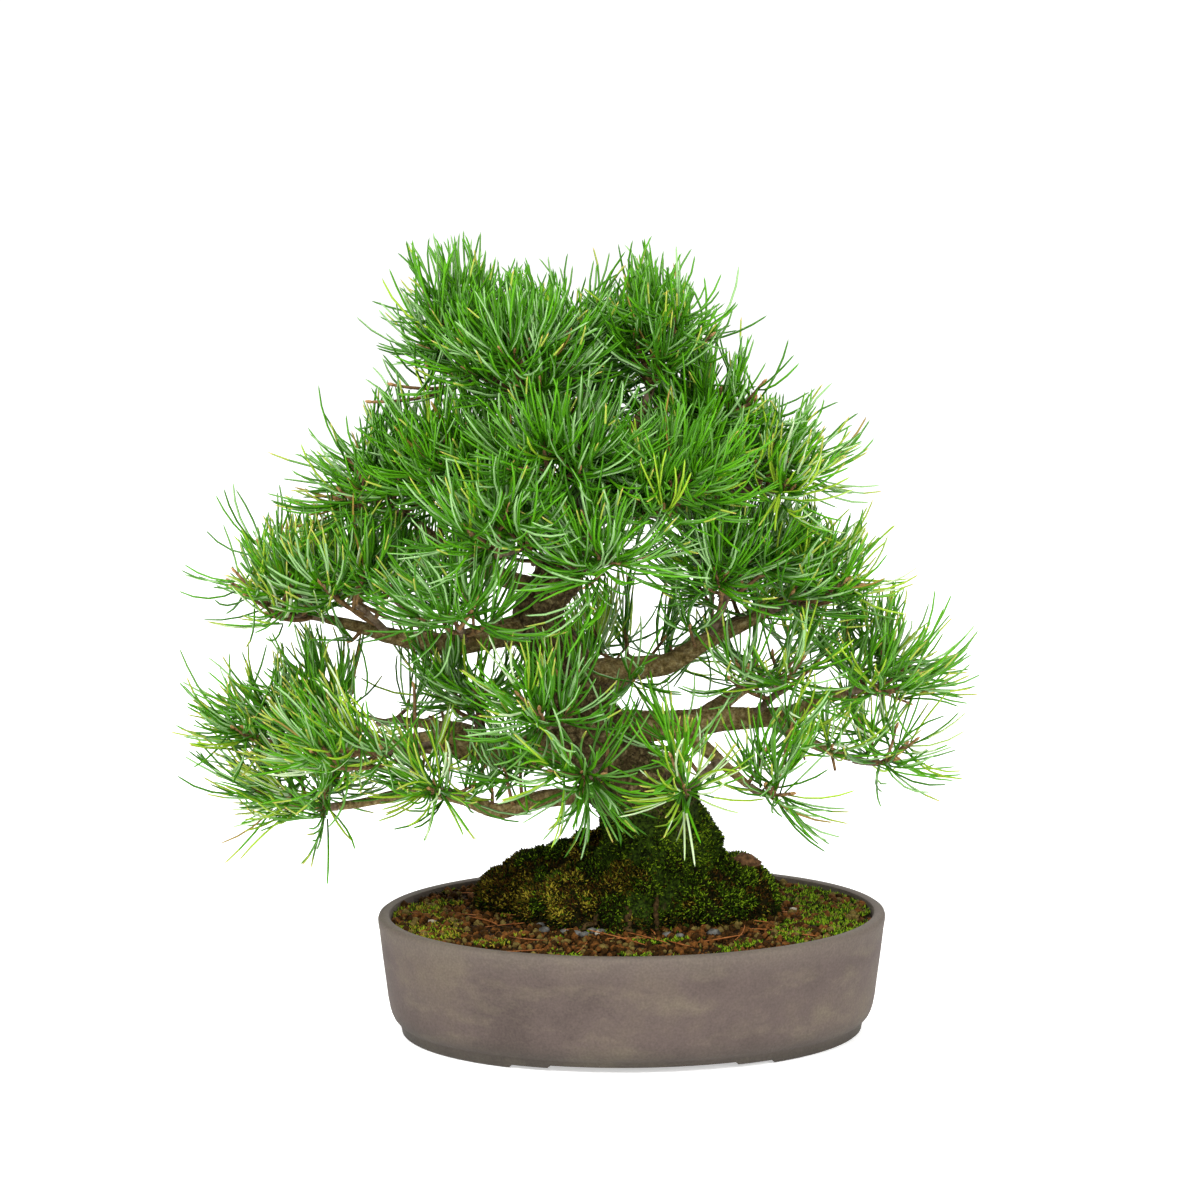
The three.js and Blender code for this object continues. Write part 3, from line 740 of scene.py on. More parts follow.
def pine_bark(name, tones, plate, seam, mossy):
    """tones: dark, middle, light. plate: a flake's size in mm. seam: the tone left in seams."""
    material, tree, shader = new_material(name, Roughness=0.92, Specular_IOR_Level=0.08)
    place = add(tree, "TexCoord").outputs["Object"]
    push = add(tree, "TexNoise", {"Vector": place, "Scale": per_metre(BARK_WAVES), "Detail": 4})
    pushed = add(
        tree, "VectorMath",
        {0: push.outputs["Color"], 1: (BARK_PUSH * MM,) * 3, 2: place},
        operation="MULTIPLY_ADD",
    )
    flakes = add(
        tree, "TexVoronoi",
        {"Vector": pushed.outputs[0], "Scale": per_metre(plate), "Randomness": 1.0},
        feature="DISTANCE_TO_EDGE",
    )
    seams = add(
        tree, "MapRange", {"Value": flakes.outputs["Distance"], "From Max": 0.22, "To Min": seam}
    )
    grain = add(
        tree, "TexNoise",
        {"Vector": place, "Scale": per_metre(BARK_GRAIN), "Detail": 8, "Roughness": 0.78},
    )
    toned = add(
        tree, "ValToRGB", {"Fac": grain.outputs["Fac"]}, stops=list(zip((0.36, 0.5, 0.66), tones))
    )
    seamed = add(
        tree, "Mix",
        {"Factor": seams.outputs[0], COLOUR_A: colour(SEAM_BROWN),
         COLOUR_B: toned.outputs["Color"]},
        data_type="RGBA",
    )
    last_colour = seamed.outputs[MIXED]
    if mossy:
        last_colour = with_moss(tree, place, last_colour)
    relief = add(tree, "Math", {0: grain.outputs["Fac"], 1: seams.outputs[0]}, operation="ADD")
    give_surface(tree, shader, last_colour, relief.outputs[0], 1.4 * MM, 0.8)
    return material


trunk_bark = pine_bark("pine_bark_plated", ("#2d2418", "#5d4e32", "#968760"), 7.5, 0.3, True)
bough_bark = pine_bark("pine_bark_flaky", ("#4c3e20", "#7f6c44", "#a8986e"), 6.5, 0.6, False)

# %% [markdown]
# ## Wood with real relief
# Round tubes along the routes would look like pipes. Here they are melted into one skin, so
# that a bough grows out of the trunk with a soft collar, and then every point of the skin
# is moved: out and in by root lobes near the ground, and in along the cracks between the
# bark's scales. The deeper cracks are on the thicker wood, as they are on the tree.

# %% How fine the skin is, and how deep the bark and the root lobes are, in mm and shares
SKIN = 1.7
SKIN_ROUNDS = 3
ROUTE_STEP = 6
SAMPLE_STEP = 3
FLARE_TOP = 0.36
FLARE_BELOW = 190
# Each set of lobes: how many go round the trunk, their depth as a share, and their turn
ROOT_LOBES = [(7, 0.11, 0.8), (3, 0.09, 1.9)]
SCALE_SIZE = 8.5
SCALE_STRETCH = 1.5
CRACK_DEPTH = 0.065
CRACK_WIDTH = 0.35
THIN_WOOD = 14
THIN_SHARE = 0.6
DEEPEST_CRACK = 1.7
KNOBS = 1.3
# An old hollow in the front of the trunk: its place, reach and depth
HOLLOW = ((-3, -29, 199), 15, 5)
# The noise that pushes the cracks about is seeded, or else each run would push them anew
noise.seed_set(1)


# %% Melt touching bodies into one skin
def melted(mesh, voxel, rounds):
    holder = linked("melting", mesh)
    remesh = holder.modifiers.new("skin", "REMESH")
    remesh.mode = "VOXEL"
    remesh.voxel_size = voxel * MM
    remesh.adaptivity = 0
    soften = holder.modifiers.new("soften", "SMOOTH")
    soften.factor = 0.5
    soften.iterations = rounds
    return finished_mesh(holder)


# %% Which limb a point of the skin belongs to, how far along it and how thick it is there
def nearest_wood(points, names):
    samples = []
    for name in names:
        limb = limbs[name]
        shares = np.linspace(0, 1, int(limb.length / SAMPLE_STEP))
        samples.append(np.column_stack([limb.at(shares), limb.radius(shares), shares]))
    samples = np.vstack(samples)
    tree = tree_of(samples[:, :3])
    found = samples[[tree.find(point)[1] for point in points]]
    return found[:, :3], found[:, 3], found[:, 4]


def cracked_bark(points, thick):
    """How far each point sinks into a crack between two scales of bark, in mm."""
    thinner = np.where(thick > THIN_WOOD, 1, THIN_SHARE)
    sink = np.empty(len(points))
    for i, (x, y, z) in enumerate(points):
        place = Vector((x, y, z))
        push = 3 * noise.noise_vector(place / 9)
        stretched = Vector((x, y, z / SCALE_STRETCH))
        near, _ = noise.voronoi((stretched + push) / (SCALE_SIZE * thinner[i]))
        edge = min(1.0, (near[1] - near[0]) / CRACK_WIDTH)
        rough = noise.noise(place / 2.6)
        sink[i] = (1 - edge) ** 1.5 - 0.35 * rough - 0.25 * noise.noise(place / 7)
    return sink * np.minimum(thick * CRACK_DEPTH, DEEPEST_CRACK) * thinner


# %% Make some limbs into one skin of wood
def make_wood(names, flared):
    routes = []
    for name in names:
        limb = limbs[name]
        shares = np.linspace(0, 1, max(12, int(limb.length / ROUTE_STEP)))
        routes.append((limb.at(shares), limb.radius(shares)))
    skin = melted(mesh_of_tubes(routes, 4), SKIN, SKIN_ROUNDS)
    points = part_mm(rows_of(skin, "co"))
    outward = rows_of(skin, "normal")
    centres, thick, shares = nearest_wood(points, names)
    if flared:
        flare = np.maximum(0, 1 - shares / FLARE_TOP) * (points[:, 2] < FLARE_BELOW)
        away = points - centres
        angle = np.arctan2(away[:, 1], away[:, 0])
        lobes = sum(depth * np.sin(count * angle + turn) for count, depth, turn in ROOT_LOBES)
        away[:, 2] = 0
        points += away * (flare * lobes)[:, None]
    knobs = KNOBS * noise_at(points, 14) * np.minimum(1, thick / 12)
    points += outward * knobs[:, None]
    points -= outward * cracked_bark(points, thick)[:, None]
    if flared:
        middle, reach, depth = HOLLOW
        near = np.maximum(0, 1 - np.linalg.norm(points - middle, axis=1) / reach)
        points -= outward * (depth * near * near * (3 - 2 * near))[:, None]
    skin.vertices.foreach_set("co", part_metres(points).ravel())
    return skin, points, outward


# %% The trunk, cut off flat just under the soil, and the boughs
trunk_skin, trunk_points, trunk_outward = make_wood(["trunk"], True)
trunk_body = body_of(trunk_skin)
cut_flat(trunk_body, GROUND - 1, -1)
trunk_skin = mesh_of(trunk_body, trunk_skin)
add_piece("trunk_bark", trunk_skin, [trunk_bark], ["trunk"])
boughs = list(BOUGHS)
bough_skin, _, _ = make_wood(boughs, False)
add_piece("bough_bark", bough_skin, [bough_bark], ["bough_" + b for b in boughs])

# %% [markdown]
# ## Where the needles grow
# A bonsai's foliage is kept in separate masses with sky between them. Each mass hangs on one
# stem that leaves a bough, and its shoots spread out round its middle, turned by the golden
# angle. The table below is the source's own list of masses, and the next cells repeat its
# rule with the same random draws, so that every tuft sits on the spray it stands for.

# %% The masses: limb, share along it, middle, spread, shoots and lift
MASSES = {
    "low_left_tip": ("left_low", 1, (-228, 0, 169), (27, 40, 13), 6, 0),
    "low_left_front": ("left_low", 0.6, (-137, -52, 188), (14, 12, 7), 2, 0),
    "left_tip": ("left_main", 1, (-246, 4, 214), (24, 40, 18), 6, 0.4),
    "left_top": ("left_main", 0.8, (-206, -2, 236), (22, 34, 12), 5, 0.5),
    "left_front": ("left_main", 0.58, (-196, -74, 211), (30, 22, 12), 4, 0.3),
    "left_inner": ("left_main", 0.4, (-118, 0, 242), (34, 30, 12), 5, 0.6),
    "back_left": ("back_left", 1, (-186, 120, 209), (40, 34, 22), 5, 0.4),
    "mid_left_tip": ("left_mid", 1, (-242, 2, 306), (24, 38, 16), 6, 0.35),
    "mid_left_top": ("left_mid", 0.7, (-192, -26, 320), (28, 30, 16), 5, 0.6),
    "mid_left_front": ("left_mid", 0.35, (-118, -84, 311), (26, 20, 12), 4, 0.25),
    "mid_left_back": ("left_mid", 0.5, (-172, 98, 304), (42, 32, 20), 5, 0.45),
    "upper_left": ("left_upper", 1, (-172, 0, 384), (34, 40, 26), 7, 0.5),
    "upper_left_inner": ("left_upper", 0.45, (-122, -36, 404), (30, 32, 26), 6, 0.6),
    "front_left": ("trunk", 0.75, (-92, -100, 366), (24, 20, 16), 4, 0.4),
    "top_left": ("top_left", 1, (-117, 0, 482), (32, 36, 34), 7, 0.8),
    "top_left_front": ("top_left", 0.45, (-76, -54, 474), (26, 26, 22), 5, 0.75),
    "apex": ("trunk", 1, (-42, 6, 488), (24, 34, 18), 6, 0.9),
    "top_right": ("top_right", 1, (18, -10, 488), (28, 34, 24), 7, 0.85),
    "top_right_out": ("top_right", 0.4, (70, 0, 446), (14, 18, 8), 2, 0.6),
    "top_back": ("trunk", 0.92, (-50, 88, 442), (46, 28, 32), 6, 0.7),
    "front_upper": ("trunk", 0.88, (-52, -84, 413), (34, 22, 20), 5, 0.45),
    "front_middle": ("trunk", 0.7, (-22, -96, 350), (14, 12, 10), 3, 0.3),
    "front_right": ("trunk", 0.82, (24, -68, 391), (32, 26, 22), 6, 0.5),
    "upper_right": ("right_upper", 1, (97, 0, 396), (32, 38, 20), 6, 0.5),
    "upper_right_inner": ("right_upper", 0.55, (52, 8, 426), (28, 34, 18), 5, 0.75),
    "upper_right_back": ("trunk", 0.79, (48, 92, 368), (40, 28, 24), 5, 0.5),
    "mid_right_tip": ("right_mid", 1, (126, 2, 316), (30, 38, 20), 6, 0.35),
    "mid_right_top": ("right_mid", 0.7, (72, -16, 336), (34, 34, 14), 5, 0.45),
    "mid_right_back": ("right_mid", 0.5, (88, 104, 296), (40, 30, 22), 5, 0.45),
    "right_tip": ("right_low", 1, (176, 0, 252), (22, 32, 18), 6, 0.25),
    "right_top": ("right_low", 0.62, (108, -16, 257), (32, 32, 10), 5, 0.5),
    "right_under": ("right_under", 1, (174, 0, 196), (12, 24, 6), 3, 0.15),
    "right_lowest": ("right_lowest", 1, (98, -46, 182), (10, 14, 5), 2, 0.05),
    "front_low_right": ("right_lowest", 0.62, (38, -80, 190), (3, 3, 3), 1, 0),
    "front_low": ("trunk", 0.42, (-58, -86, 240), (14, 12, 8), 3, 0.3),
    "front_lowest": ("trunk", 0.34, (-32, -74, 199), (10, 8, 6), 2, -0.1),
    "back_right": ("back_right", 1, (108, 116, 235), (40, 32, 20), 5, 0.4),
    "back_low": ("back_low", 1, (-6, 132, 246), (36, 30, 22), 5, 0.4),
    "back_mid": ("back_mid", 1, (-72, 126, 329), (40, 28, 26), 5, 0.5),
}
SEED_STEP = 7919
GOLDEN_ANGLE = math.pi * (3 - math.sqrt(5))
UNDERSIDE = 0.55
INNERMOST = 0.8
STRAYS = 0.3
HUB_UNDER = 0.6
FORKS_OVER = 0.7
STEM_STEPS = 13
STEM_RADII = (3.2, 2.2)
TREE_MIDDLE = np.array([-40, 5, 0])


# %% The stem of a mass: on from a bough's tip, or up out of its side
def bent(start, knee, end, steps):
    """A route that sets off towards a knee and arrives from it."""
    t = np.linspace(0, 1, steps)[:, None]
    return start * (1 - t) ** 2 + 2 * knee * t * (1 - t) + end * t**2


def stem_of(limb_name, along, middle, spread):
    limb = limbs[limb_name]
    hub = middle - np.array([0, 0, HUB_UNDER * spread[2]])
    start = limb.at(along)
    reach = np.linalg.norm(hub - start)
    leave = limb.tangent(1) if along == 1 else unit(hub - start)
    elbow = start + leave * 0.45 * reach
    if along != 1:
        elbow[2] += 0.06 * reach
    return hub, bent(start, elbow, hub, STEM_STEPS)


# %% The shoots of a mass, by the source's rule
def shoots_of(index, limb_name, along, middle, spread, count, lift):
    middle, spread = np.array(middle, dtype=float), np.array(spread, dtype=float)
    hub, places = stem_of(limb_name, along, middle, spread)
    shares = run_along(places)
    shares /= shares[-1]
    draw = seeded(SEED_STEP * (index + 1))
    turn = 2 * math.pi * draw()
    shoots = []
    for k in range(count):
        height = 1 - ((k + 0.5) / count) * (1 + UNDERSIDE)
        ring = math.sqrt(1 - height * height)
        angle = turn + k * GOLDEN_ANGLE
        on_ball = np.array([ring * math.cos(angle), ring * math.sin(angle), height])
        place = on_ball * spread * (INNERMOST + (1 - INNERMOST) * draw()) + middle
        outward = unit((place - TREE_MIDDLE) * [1, 1, 0])
        stray = np.array([draw() - 0.5, draw() - 0.5, draw() - 0.5])
        axis = (unit(place - hub) + outward) * 0.5 * (1 - lift)
        axis[2] += lift
        axis = unit(axis + stray * STRAYS)
        spin = 2 * math.pi * draw()
        seed = 1 + int(1e6 * draw())
        fork_share = 1 - k / max(1, count - 1) * FORKS_OVER
        fork = np.array([np.interp(fork_share, shares, places[:, i]) for i in range(3)])
        shoots.append({"place": place, "axis": axis, "spin": spin, "seed": seed, "fork": fork})
    return places, shoots


grown = {name: shoots_of(index, *row) for index, (name, row) in enumerate(MASSES.items())}
print("shoots", sum(len(shoots) for _, shoots in grown.values()), "in", len(grown), "masses")

# %% [markdown]
# ## Twigs
# A shoot of this pine isn't one tuft but a small fork: a leading twig, and side twigs that
# leave it at half its length and end in smaller tufts. They are a year or two old and still
# light brown. Each is a short bowed route with a tuft at its end. The seed of the shoot
# decides its forks, so every run grows the same tree. No twig is grown where the sky shows
# between the masses, because a grower pinches off what closes such an opening.

# %% Where the grower keeps the crown open, as seen from the front: x, height and radius
OPENINGS = [
    (92, 535, 30), (132, 496, 30), (158, 468, 21), (83, 512, 11), (117, 472, 14),
    (141, 442, 13), (97, 489, 11), (181, 412, 20), (47, 546, 13), (62, 530, 9),
    (25, 556, 11), (160, 401, 9), (-223, 429, 14), (-200, 442, 14), (-203, 461, 14),
    (-190, 484, 13), (-172, 521, 11), (-231, 401, 10), (-287, 348, 13), (-39, 543, 16),
    (-62, 546, 10), (-18, 548, 10), (-91, 558, 10), (-164, 546, 12), (-142, 546, 7),
    (-156, 512, 6), (171, 348, 6), (-237, 273, 8), (126, 270, 6), (181, 233, 6),
    (217, 209, 6), (-283, 306, 11), (-181, 252, 17), (-263, 270, 13), (106, 281, 6),
    (-300, 259, 14), (-295, 158, 10), (-214, 129, 9), (-242, 138, 11), (-229, 180, 7),
    (-105, 270, 13), (7, 310, 9), (6, 327, 5), (97, 280, 9), (76, 286, 9),
    (91, 282, 6), (55, 259, 7), (192, 229, 7), (193, 162, 10), (179, 205, 6),
    (219, 291, 10), (187, 337, 13), (173, 366, 10), (48, 157, 7), (231, 194, 10),
    (-172, 257, 18), (92, 471, 16), (-279, 270, 12), (132, 175, 12), (155, 187, 7),
    (213, 219, 10), (198, 306, 10), (145, 373, 11), (218, 273, 7), (-169, 497, 8),
    (-230, 178, 6), (10, 288, 7), (-293, 331, 7), (-112, 275, 9), (37, 254, 7),
    (135, 254, 7), (62, 469, 6), (-264, 368, 7), (170, 234, 6), (-286, 143, 6),
    (35, 284, 6), (212, 233, 9), (114, 279, 6), (-231, 176, 7), (-93, 267, 7),
    (-280, 285, 8), (139, 418, 6), (99, 466, 9), (131, 190, 10), (-28, 538, 10),
    (-173, 468, 8), (-206, 274, 7), (112, 452, 10), (69, 493, 9), (64, 166, 9),
    (-196, 149, 8), (-176, 231, 7), (207, 299, 6), (46, 516, 6),
]


def seen_from_front(places):
    """Where a place shows on the upright plane through the pot's middle."""
    nearer = CAMERA_AWAY / (CAMERA_AWAY + places[..., 1])
    heights = CAMERA_HEIGHT - (CAMERA_HEIGHT - places[..., 2]) * nearer
    return np.stack([places[..., 0] * nearer, heights], axis=-1)


def in_opening(place):
    seen = seen_from_front(place)
    return any(math.dist(seen, (x, height)) < radius for x, height, radius in OPENINGS)


# %% How the twigs leave, with lengths and end radii in mm
# Side twigs to a shoot, below a height and above it
SIDE_TWIGS = (1, 2)
DENSE_ABOVE = 340
SIDE_SHARE = (0.45, 0.8)
SIDE_LENGTH = (18, 32)
SIDE_TURN = 0.95
SIDE_SIZE = 0.6
BOW = 0.12
TWIG_STEPS = 7
TIP_BEYOND = 6
LEADING_RADII = (1.8, 1.3)
SIDE_RADII = (1.25, 1.0)
SPUR_RADII = (1.6, 1.15)
stem_routes, twig_routes, tufts = [], [], {}


def bowed(start, end, leave, bow):
    """A twig that sets off along its parent and bends over to its own end."""
    length = np.linalg.norm(end - start)
    knee = start + unit(leave) * length * 0.4 + np.array([0, 0, -bow * length])
    return bent(start, knee, end, TWIG_STEPS)


def add_twig(route, radii):
    twig_routes.append((route, np.linspace(*radii, TWIG_STEPS)))


def turned(axis, angle, spin):
    """A direction that leans away from an axis by one angle, and round it by another."""
    ring = ring_round(axis, np.array(spin), [0.3, 0.2, 1.0])
    return unit(axis * math.cos(angle) + ring * math.sin(angle))


# %% Grow the twigs and note where each tuft sits
for name, (places, shoots) in grown.items():
    stem_routes.append((places, np.linspace(*STEM_RADII, len(places))))
    tufts[name] = []
    for shoot in shoots:
        draw = seeded(shoot["seed"])
        end = shoot["place"] + shoot["axis"] * TIP_BEYOND
        if in_opening(end):
            continue
        ahead = unit(end - shoot["fork"])
        stray = 0.3 * (np.array([draw(), draw(), draw()]) - 0.5)
        route = bowed(shoot["fork"], end, ahead + stray, BOW)
        add_twig(route, LEADING_RADII)
        tufts[name].append((end, shoot["axis"], 1.0, shoot["seed"]))
        for side in range(SIDE_TWIGS[end[2] > DENSE_ABOVE]):
            start = route[int(between(*SIDE_SHARE, draw()) * (TWIG_STEPS - 1))]
            spin = shoot["spin"] + side * math.pi + draw()
            axis = turned(shoot["axis"], SIDE_TURN * (0.7 + 0.6 * draw()), spin)
            axis = unit(axis + [0, 0, 0.25])
            tip = start + axis * between(*SIDE_LENGTH, draw())
            if in_opening(tip):
                continue
            add_twig(bowed(start, tip, ahead + axis, BOW), SIDE_RADII)
            tufts[name].append((tip, axis, SIDE_SIZE, shoot["seed"] + 31 * (side + 1)))
print("twigs", len(twig_routes), "tufts", sum(len(t) for t in tufts.values()))

# %% Short spurs with one tuft each: the tuft's place in mm, and its size
SPUR_TIPS = [
    (1, -45, 260, 0.7), (29, -50, 224, 0.8), (39, -62, 188, 0.8), (68, -40, 260, 0.7),
    (96, -30, 260, 0.7), (111, -45, 229, 0.75), (139, -30, 210, 0.8), (155, -20, 243, 0.7),
    (201, -5, 256, 0.85), (53, -40, 324, 0.7), (-37, -40, 263, 0.7), (-292, 0, 227, 0.9),
    (-277, -30, 223, 0.8), (-272, -10, 178, 0.8), (-243, -25, 165, 0.7), (-216, -40, 164, 0.7),
    (-136, -45, 186, 0.85), (-107, -50, 254, 0.65), (-88, -40, 194, 0.7),
    (-164, -20, 463, 0.75), (-180, -10, 450, 0.65), (-280, 0, 321, 0.85), (-29, -95, 336, 0.8),
    (-261, 10, 346, 0.7), (-112, 0, 524, 0.8), (-133, 10, 516, 0.7), (22, 96, 262, 0.7),
    (48, 74, 262, 0.7), (-78, -45, 198, 0.8), (-98, -20, 176, 0.6), (-34, -78, 189, 0.95),
    (191, -6, 206, 0.8), (-196, -24, 284, 0.7), (-152, -22, 250, 0.65), (-276, -10, 330, 0.6),
    (-112, -30, 182, 0.7), (198, -14, 211, 0.6), (40, -36, 296, 0.5), (92, -30, 206, 0.75),
    (90, -6, 462, 0.6), (-142, -10, 524, 0.5),
]
SPUR_SEED = 500
BEARER_BELOW = [0, 0, 12]
bearers = [limbs[b].at(np.linspace(0.15, 1, 60)) for b in boughs]
bearers = np.vstack(bearers + [places for places, _ in grown.values()])
tufts["spurs"] = []
for number, (*tip, size) in enumerate(SPUR_TIPS):
    tip = np.array(tip, dtype=float)
    start = bearers[np.argmin(np.linalg.norm(bearers - (tip - BEARER_BELOW), axis=1))]
    axis = unit(unit(tip - start) + unit(tip * [1, 1, 0]) * 0.3 + [0, 0, 0.35])
    add_twig(bowed(start, tip, tip - start, BOW), SPUR_RADII)
    tufts["spurs"].append((tip, axis, size, SPUR_SEED + number))

# %% Bare stubs where old twigs were pinched off
STUBS = 46
STUB_LENGTH = (4, 12)
rng = np.random.default_rng(31)
for _ in range(STUBS):
    limb = limbs[boughs[rng.integers(len(boughs))]]
    share = rng.uniform(0.2, 0.97)
    along = limb.tangent(share)
    way = rng.normal(0, 1, 3) + [0, 0, 0.3]
    way = unit(way - along * (way @ along) + along * 0.4)
    start = limb.at(share)
    end = start + way * (limb.radius(share) + rng.uniform(*STUB_LENGTH))
    if in_opening(end):
        continue
    radii = (1.4, rng.uniform(0.7, 1.1))
    add_twig(bowed(start, end, way, rng.uniform(-0.2, 0.2)), radii)
print("with spurs and stubs", len(twig_routes), "twigs")

# %% [markdown]
# ## Needles
# White pine carries its needles in bundles of five that leave the last finger's width of a
# twig. They set off sideways and bend back towards the twig's own direction, so a tuft looks
# like a shaving brush or, seen from its tip, like a star. Each needle is three-sided: green
# outside, with a bluish bloom of wax on the inside. That is why the foliage shimmers in two
# tones. One needle is sixteen corners on an arc, and arrays bend all of a tuft's needles at
# once. Every side of a needle has its own plain colour.

# %% The plain colours of needles, dealt out tuft by tuft: a leaf with a thin gloss of wax
NEEDLE_COLOURS = {
    "needle_fresh_green": "#50940a",
    "needle_deep_green": "#3a730a",
    "needle_wax_bloom": "#8cb473",
    "needle_dark_bloom": "#629340",
    "needle_pale_wax": "#c0d4a6",
    "needle_lime": "#90b22a",
    "needle_yellowing": "#98a93e",
    "needle_yellow_tip": "#b9a852",
    "needle_golden": "#937c36",
}
needle_materials = plain_materials(NEEDLE_COLOURS, 0.42, 0.22)
FRESH, DEEP, BLOOM, DARK_BLOOM, PALE, LIME, YELLOWING, TIP, GOLDEN = range(len(NEEDLE_COLOURS))
# The foot of a needle and its three sides near the twig, in deeper greens as painted shade inside
# the tuft
NEAR_TWIG_PAINTED_SHADE = (DEEP, DEEP, DEEP, FRESH)
# The outer side and the two inner sides from there on, for each kind of tuft
DRESSES = [
    (FRESH, DEEP, BLOOM), (FRESH, FRESH, DARK_BLOOM), (DEEP, DEEP, BLOOM),
    (DEEP, FRESH, DARK_BLOOM), (LIME, FRESH, BLOOM), (FRESH, LIME, PALE),
]
# Shares of the dresses, of needles with yellow tips, of lime bundles and of golden needles,
# each for the inside of the crown and for its outside. The inside gets deeper greens, as
# painted shade, and the outside paler and yellower ones
DRESS_SHARES = ([0.32, 0.27, 0.2, 0.19, 0.02, 0.0], [0.24, 0.16, 0.14, 0.12, 0.1, 0.24])
YELLOW_TIPS = (0.06, 0.24)
LIME_BUNDLES = (0.02, 0.06)
GOLDEN_NEEDLES = (0.002, 0.012)
# How far from its middle the crown's outside starts, above a height and below it, in mm.
# Tufts nearer the middle get the inside's painted shade
PAINTED_SHADE_REACH = (150, 100)
SHORTER_SHADE_BELOW = 300

# %% One needle's rings along its length, its thickness at each, and its faces
RINGS = np.array([0, 0.24, 0.49, 0.74, 0.94])
THICKNESS = np.array([0.75, 0.95, 1.0, 0.95, 0.7])
SIDES = 3
NEEDLE_TIP = SIDES * len(RINGS)
NEEDLE_FACES = [(2, 1, 0)]
for first in range(0, NEEDLE_TIP, SIDES):
    for side in range(SIDES):
        here, beside = first + side, first + (side + 1) % SIDES
        ends = (beside + SIDES, here + SIDES) if here + SIDES < NEEDLE_TIP else (NEEDLE_TIP,)
        NEEDLE_FACES.append((here, beside, *ends))


# %% Bend many needles at once
def bent_needles(feet, directions, towards, bends, lengths, radius, spins):
    """Each needle is an arc that turns from its direction towards another by its bend."""
    across = unit(towards - directions * (towards * directions).sum(1, keepdims=True))
    flat = np.cross(directions, across)
    bends, lengths = bends[:, None], lengths[:, None]

    def on_arc(share):
        turn = bends * share
        forward, sideways = np.sin(turn) / bends, (1 - np.cos(turn)) / bends
        return feet + lengths * (directions * forward + across * sideways)

    corners = np.empty((len(feet), NEEDLE_TIP + 1, 3))
    for ring, (share, thick) in enumerate(zip(RINGS, THICKNESS)):
        turn = bends * share
        normal = across * np.cos(turn) - directions * np.sin(turn)
        for side in range(SIDES):
            angle = (spins + 2 * math.pi * side / SIDES)[:, None]
            around = normal * np.cos(angle) + flat * np.sin(angle)
            corners[:, SIDES * ring + side] = on_arc(share) + around * (radius * thick)
    corners[:, NEEDLE_TIP] = on_arc(1.0)
    return corners


# %% A tuft's sizes in mm, its angles in radians, and how far each strays
# The five needles of a bundle cling together in part, so three broader ones stand for them
NEEDLE = 64
NEEDLE_VARIES = 0.18
NEEDLE_RADIUS = 0.92
BUNDLES = 13
PER_BUNDLE = 3
TUFT_DEPTH = 15
TWIG_SKIN = 1.2
NARROWEST_LEAN = 0.12
WIDEST_LEAN = 1.7
LEAN_STRAYS = 0.09
TURN_STRAYS = 0.25
NEEDLE_STRAYS = 0.09
BEND = (0.4, 1.05)
BEND_STRAYS = 0.22
FULL_TURN = 6.3


# %% One tuft: bundles along the last stretch of its twig
def tuft(place, axis, size, seed):
    rng = np.random.default_rng(seed)
    bundles = max(5, round(BUNDLES * size * rng.uniform(0.8, 1.15)))
    count = bundles * PER_BUNDLE
    bundle = np.repeat(np.arange(bundles), PER_BUNDLE)
    share = (bundle + 0.5) / bundles
    lean = between(NARROWEST_LEAN, WIDEST_LEAN, (1 - share) ** 0.75)
    lean = lean + np.repeat(rng.normal(0, LEAN_STRAYS, bundles), PER_BUNDLE)
    turns = np.repeat(rng.normal(0, TURN_STRAYS, bundles), PER_BUNDLE)
    ring = ring_round(axis, bundle * GOLDEN_ANGLE + turns, [0.31, 0.17, 0.94])
    directions = axis * np.cos(lean)[:, None] + ring * np.sin(lean)[:, None]
    directions = unit(directions + rng.normal(0, NEEDLE_STRAYS, (count, 3)))
    depth = TUFT_DEPTH * (0.55 + 0.45 * size)
    feet = place - axis * ((1 - share) * depth)[:, None] + ring * TWIG_SKIN
    towards = axis * 0.75 + [0, 0, 0.35] + rng.normal(0, BEND_STRAYS, (count, 3))
    bends = rng.uniform(*BEND, count)
    full = NEEDLE * (0.8 + 0.2 * size) * rng.uniform(0.9, 1.06)
    lengths = full * (1 - NEEDLE_VARIES * rng.random(count)) * (1 - 0.08 * share)
    spins = rng.uniform(0, FULL_TURN, count)
    corners = bent_needles(feet, directions, towards, bends, lengths, NEEDLE_RADIUS, spins)
    return corners, tuft_colours(rng, place, bundles, count)


def tuft_colours(rng, place, bundles, count):
    # Tufts near the crown's middle are dealt the inside's deeper greens, as painted shade
    outwards = np.linalg.norm((place - TREE_MIDDLE)[:2])
    outer = outwards > PAINTED_SHADE_REACH[place[2] < SHORTER_SHADE_BELOW]
    dress = DRESSES[rng.choice(len(DRESSES), p=DRESS_SHARES[outer])]
    # Every needle starts in the painted shade near the twig, then wears its tuft's dress
    colours = np.tile(NEAR_TWIG_PAINTED_SHADE + dress * (len(RINGS) - 1), (count, 1))
    yellowed = rng.random(count) < YELLOW_TIPS[outer]
    colours[yellowed, -2 * SIDES :] = YELLOWING
    colours[yellowed, -SIDES:] = TIP
    lime = np.repeat(rng.random(bundles) < LIME_BUNDLES[outer], PER_BUNDLE)
    colours[lime] = LIME
    colours[rng.random(count) < GOLDEN_NEEDLES[outer]] = GOLDEN
    return colours


# %% Where needles are left out: past the plant's box, and before openings and the wood
BOX_LOW, BOX_HIGH = map(part_mm, cad_bounds)
ROOM_LOW = 4
ROOM_HIGH = np.array([1, 4, -1])
PLUCKED = -0.55
PLUCKED_OVER = 0.1
OPENING_EDGE = (0.6, 1.25)
LEFT_IN_OPENINGS = 0.07
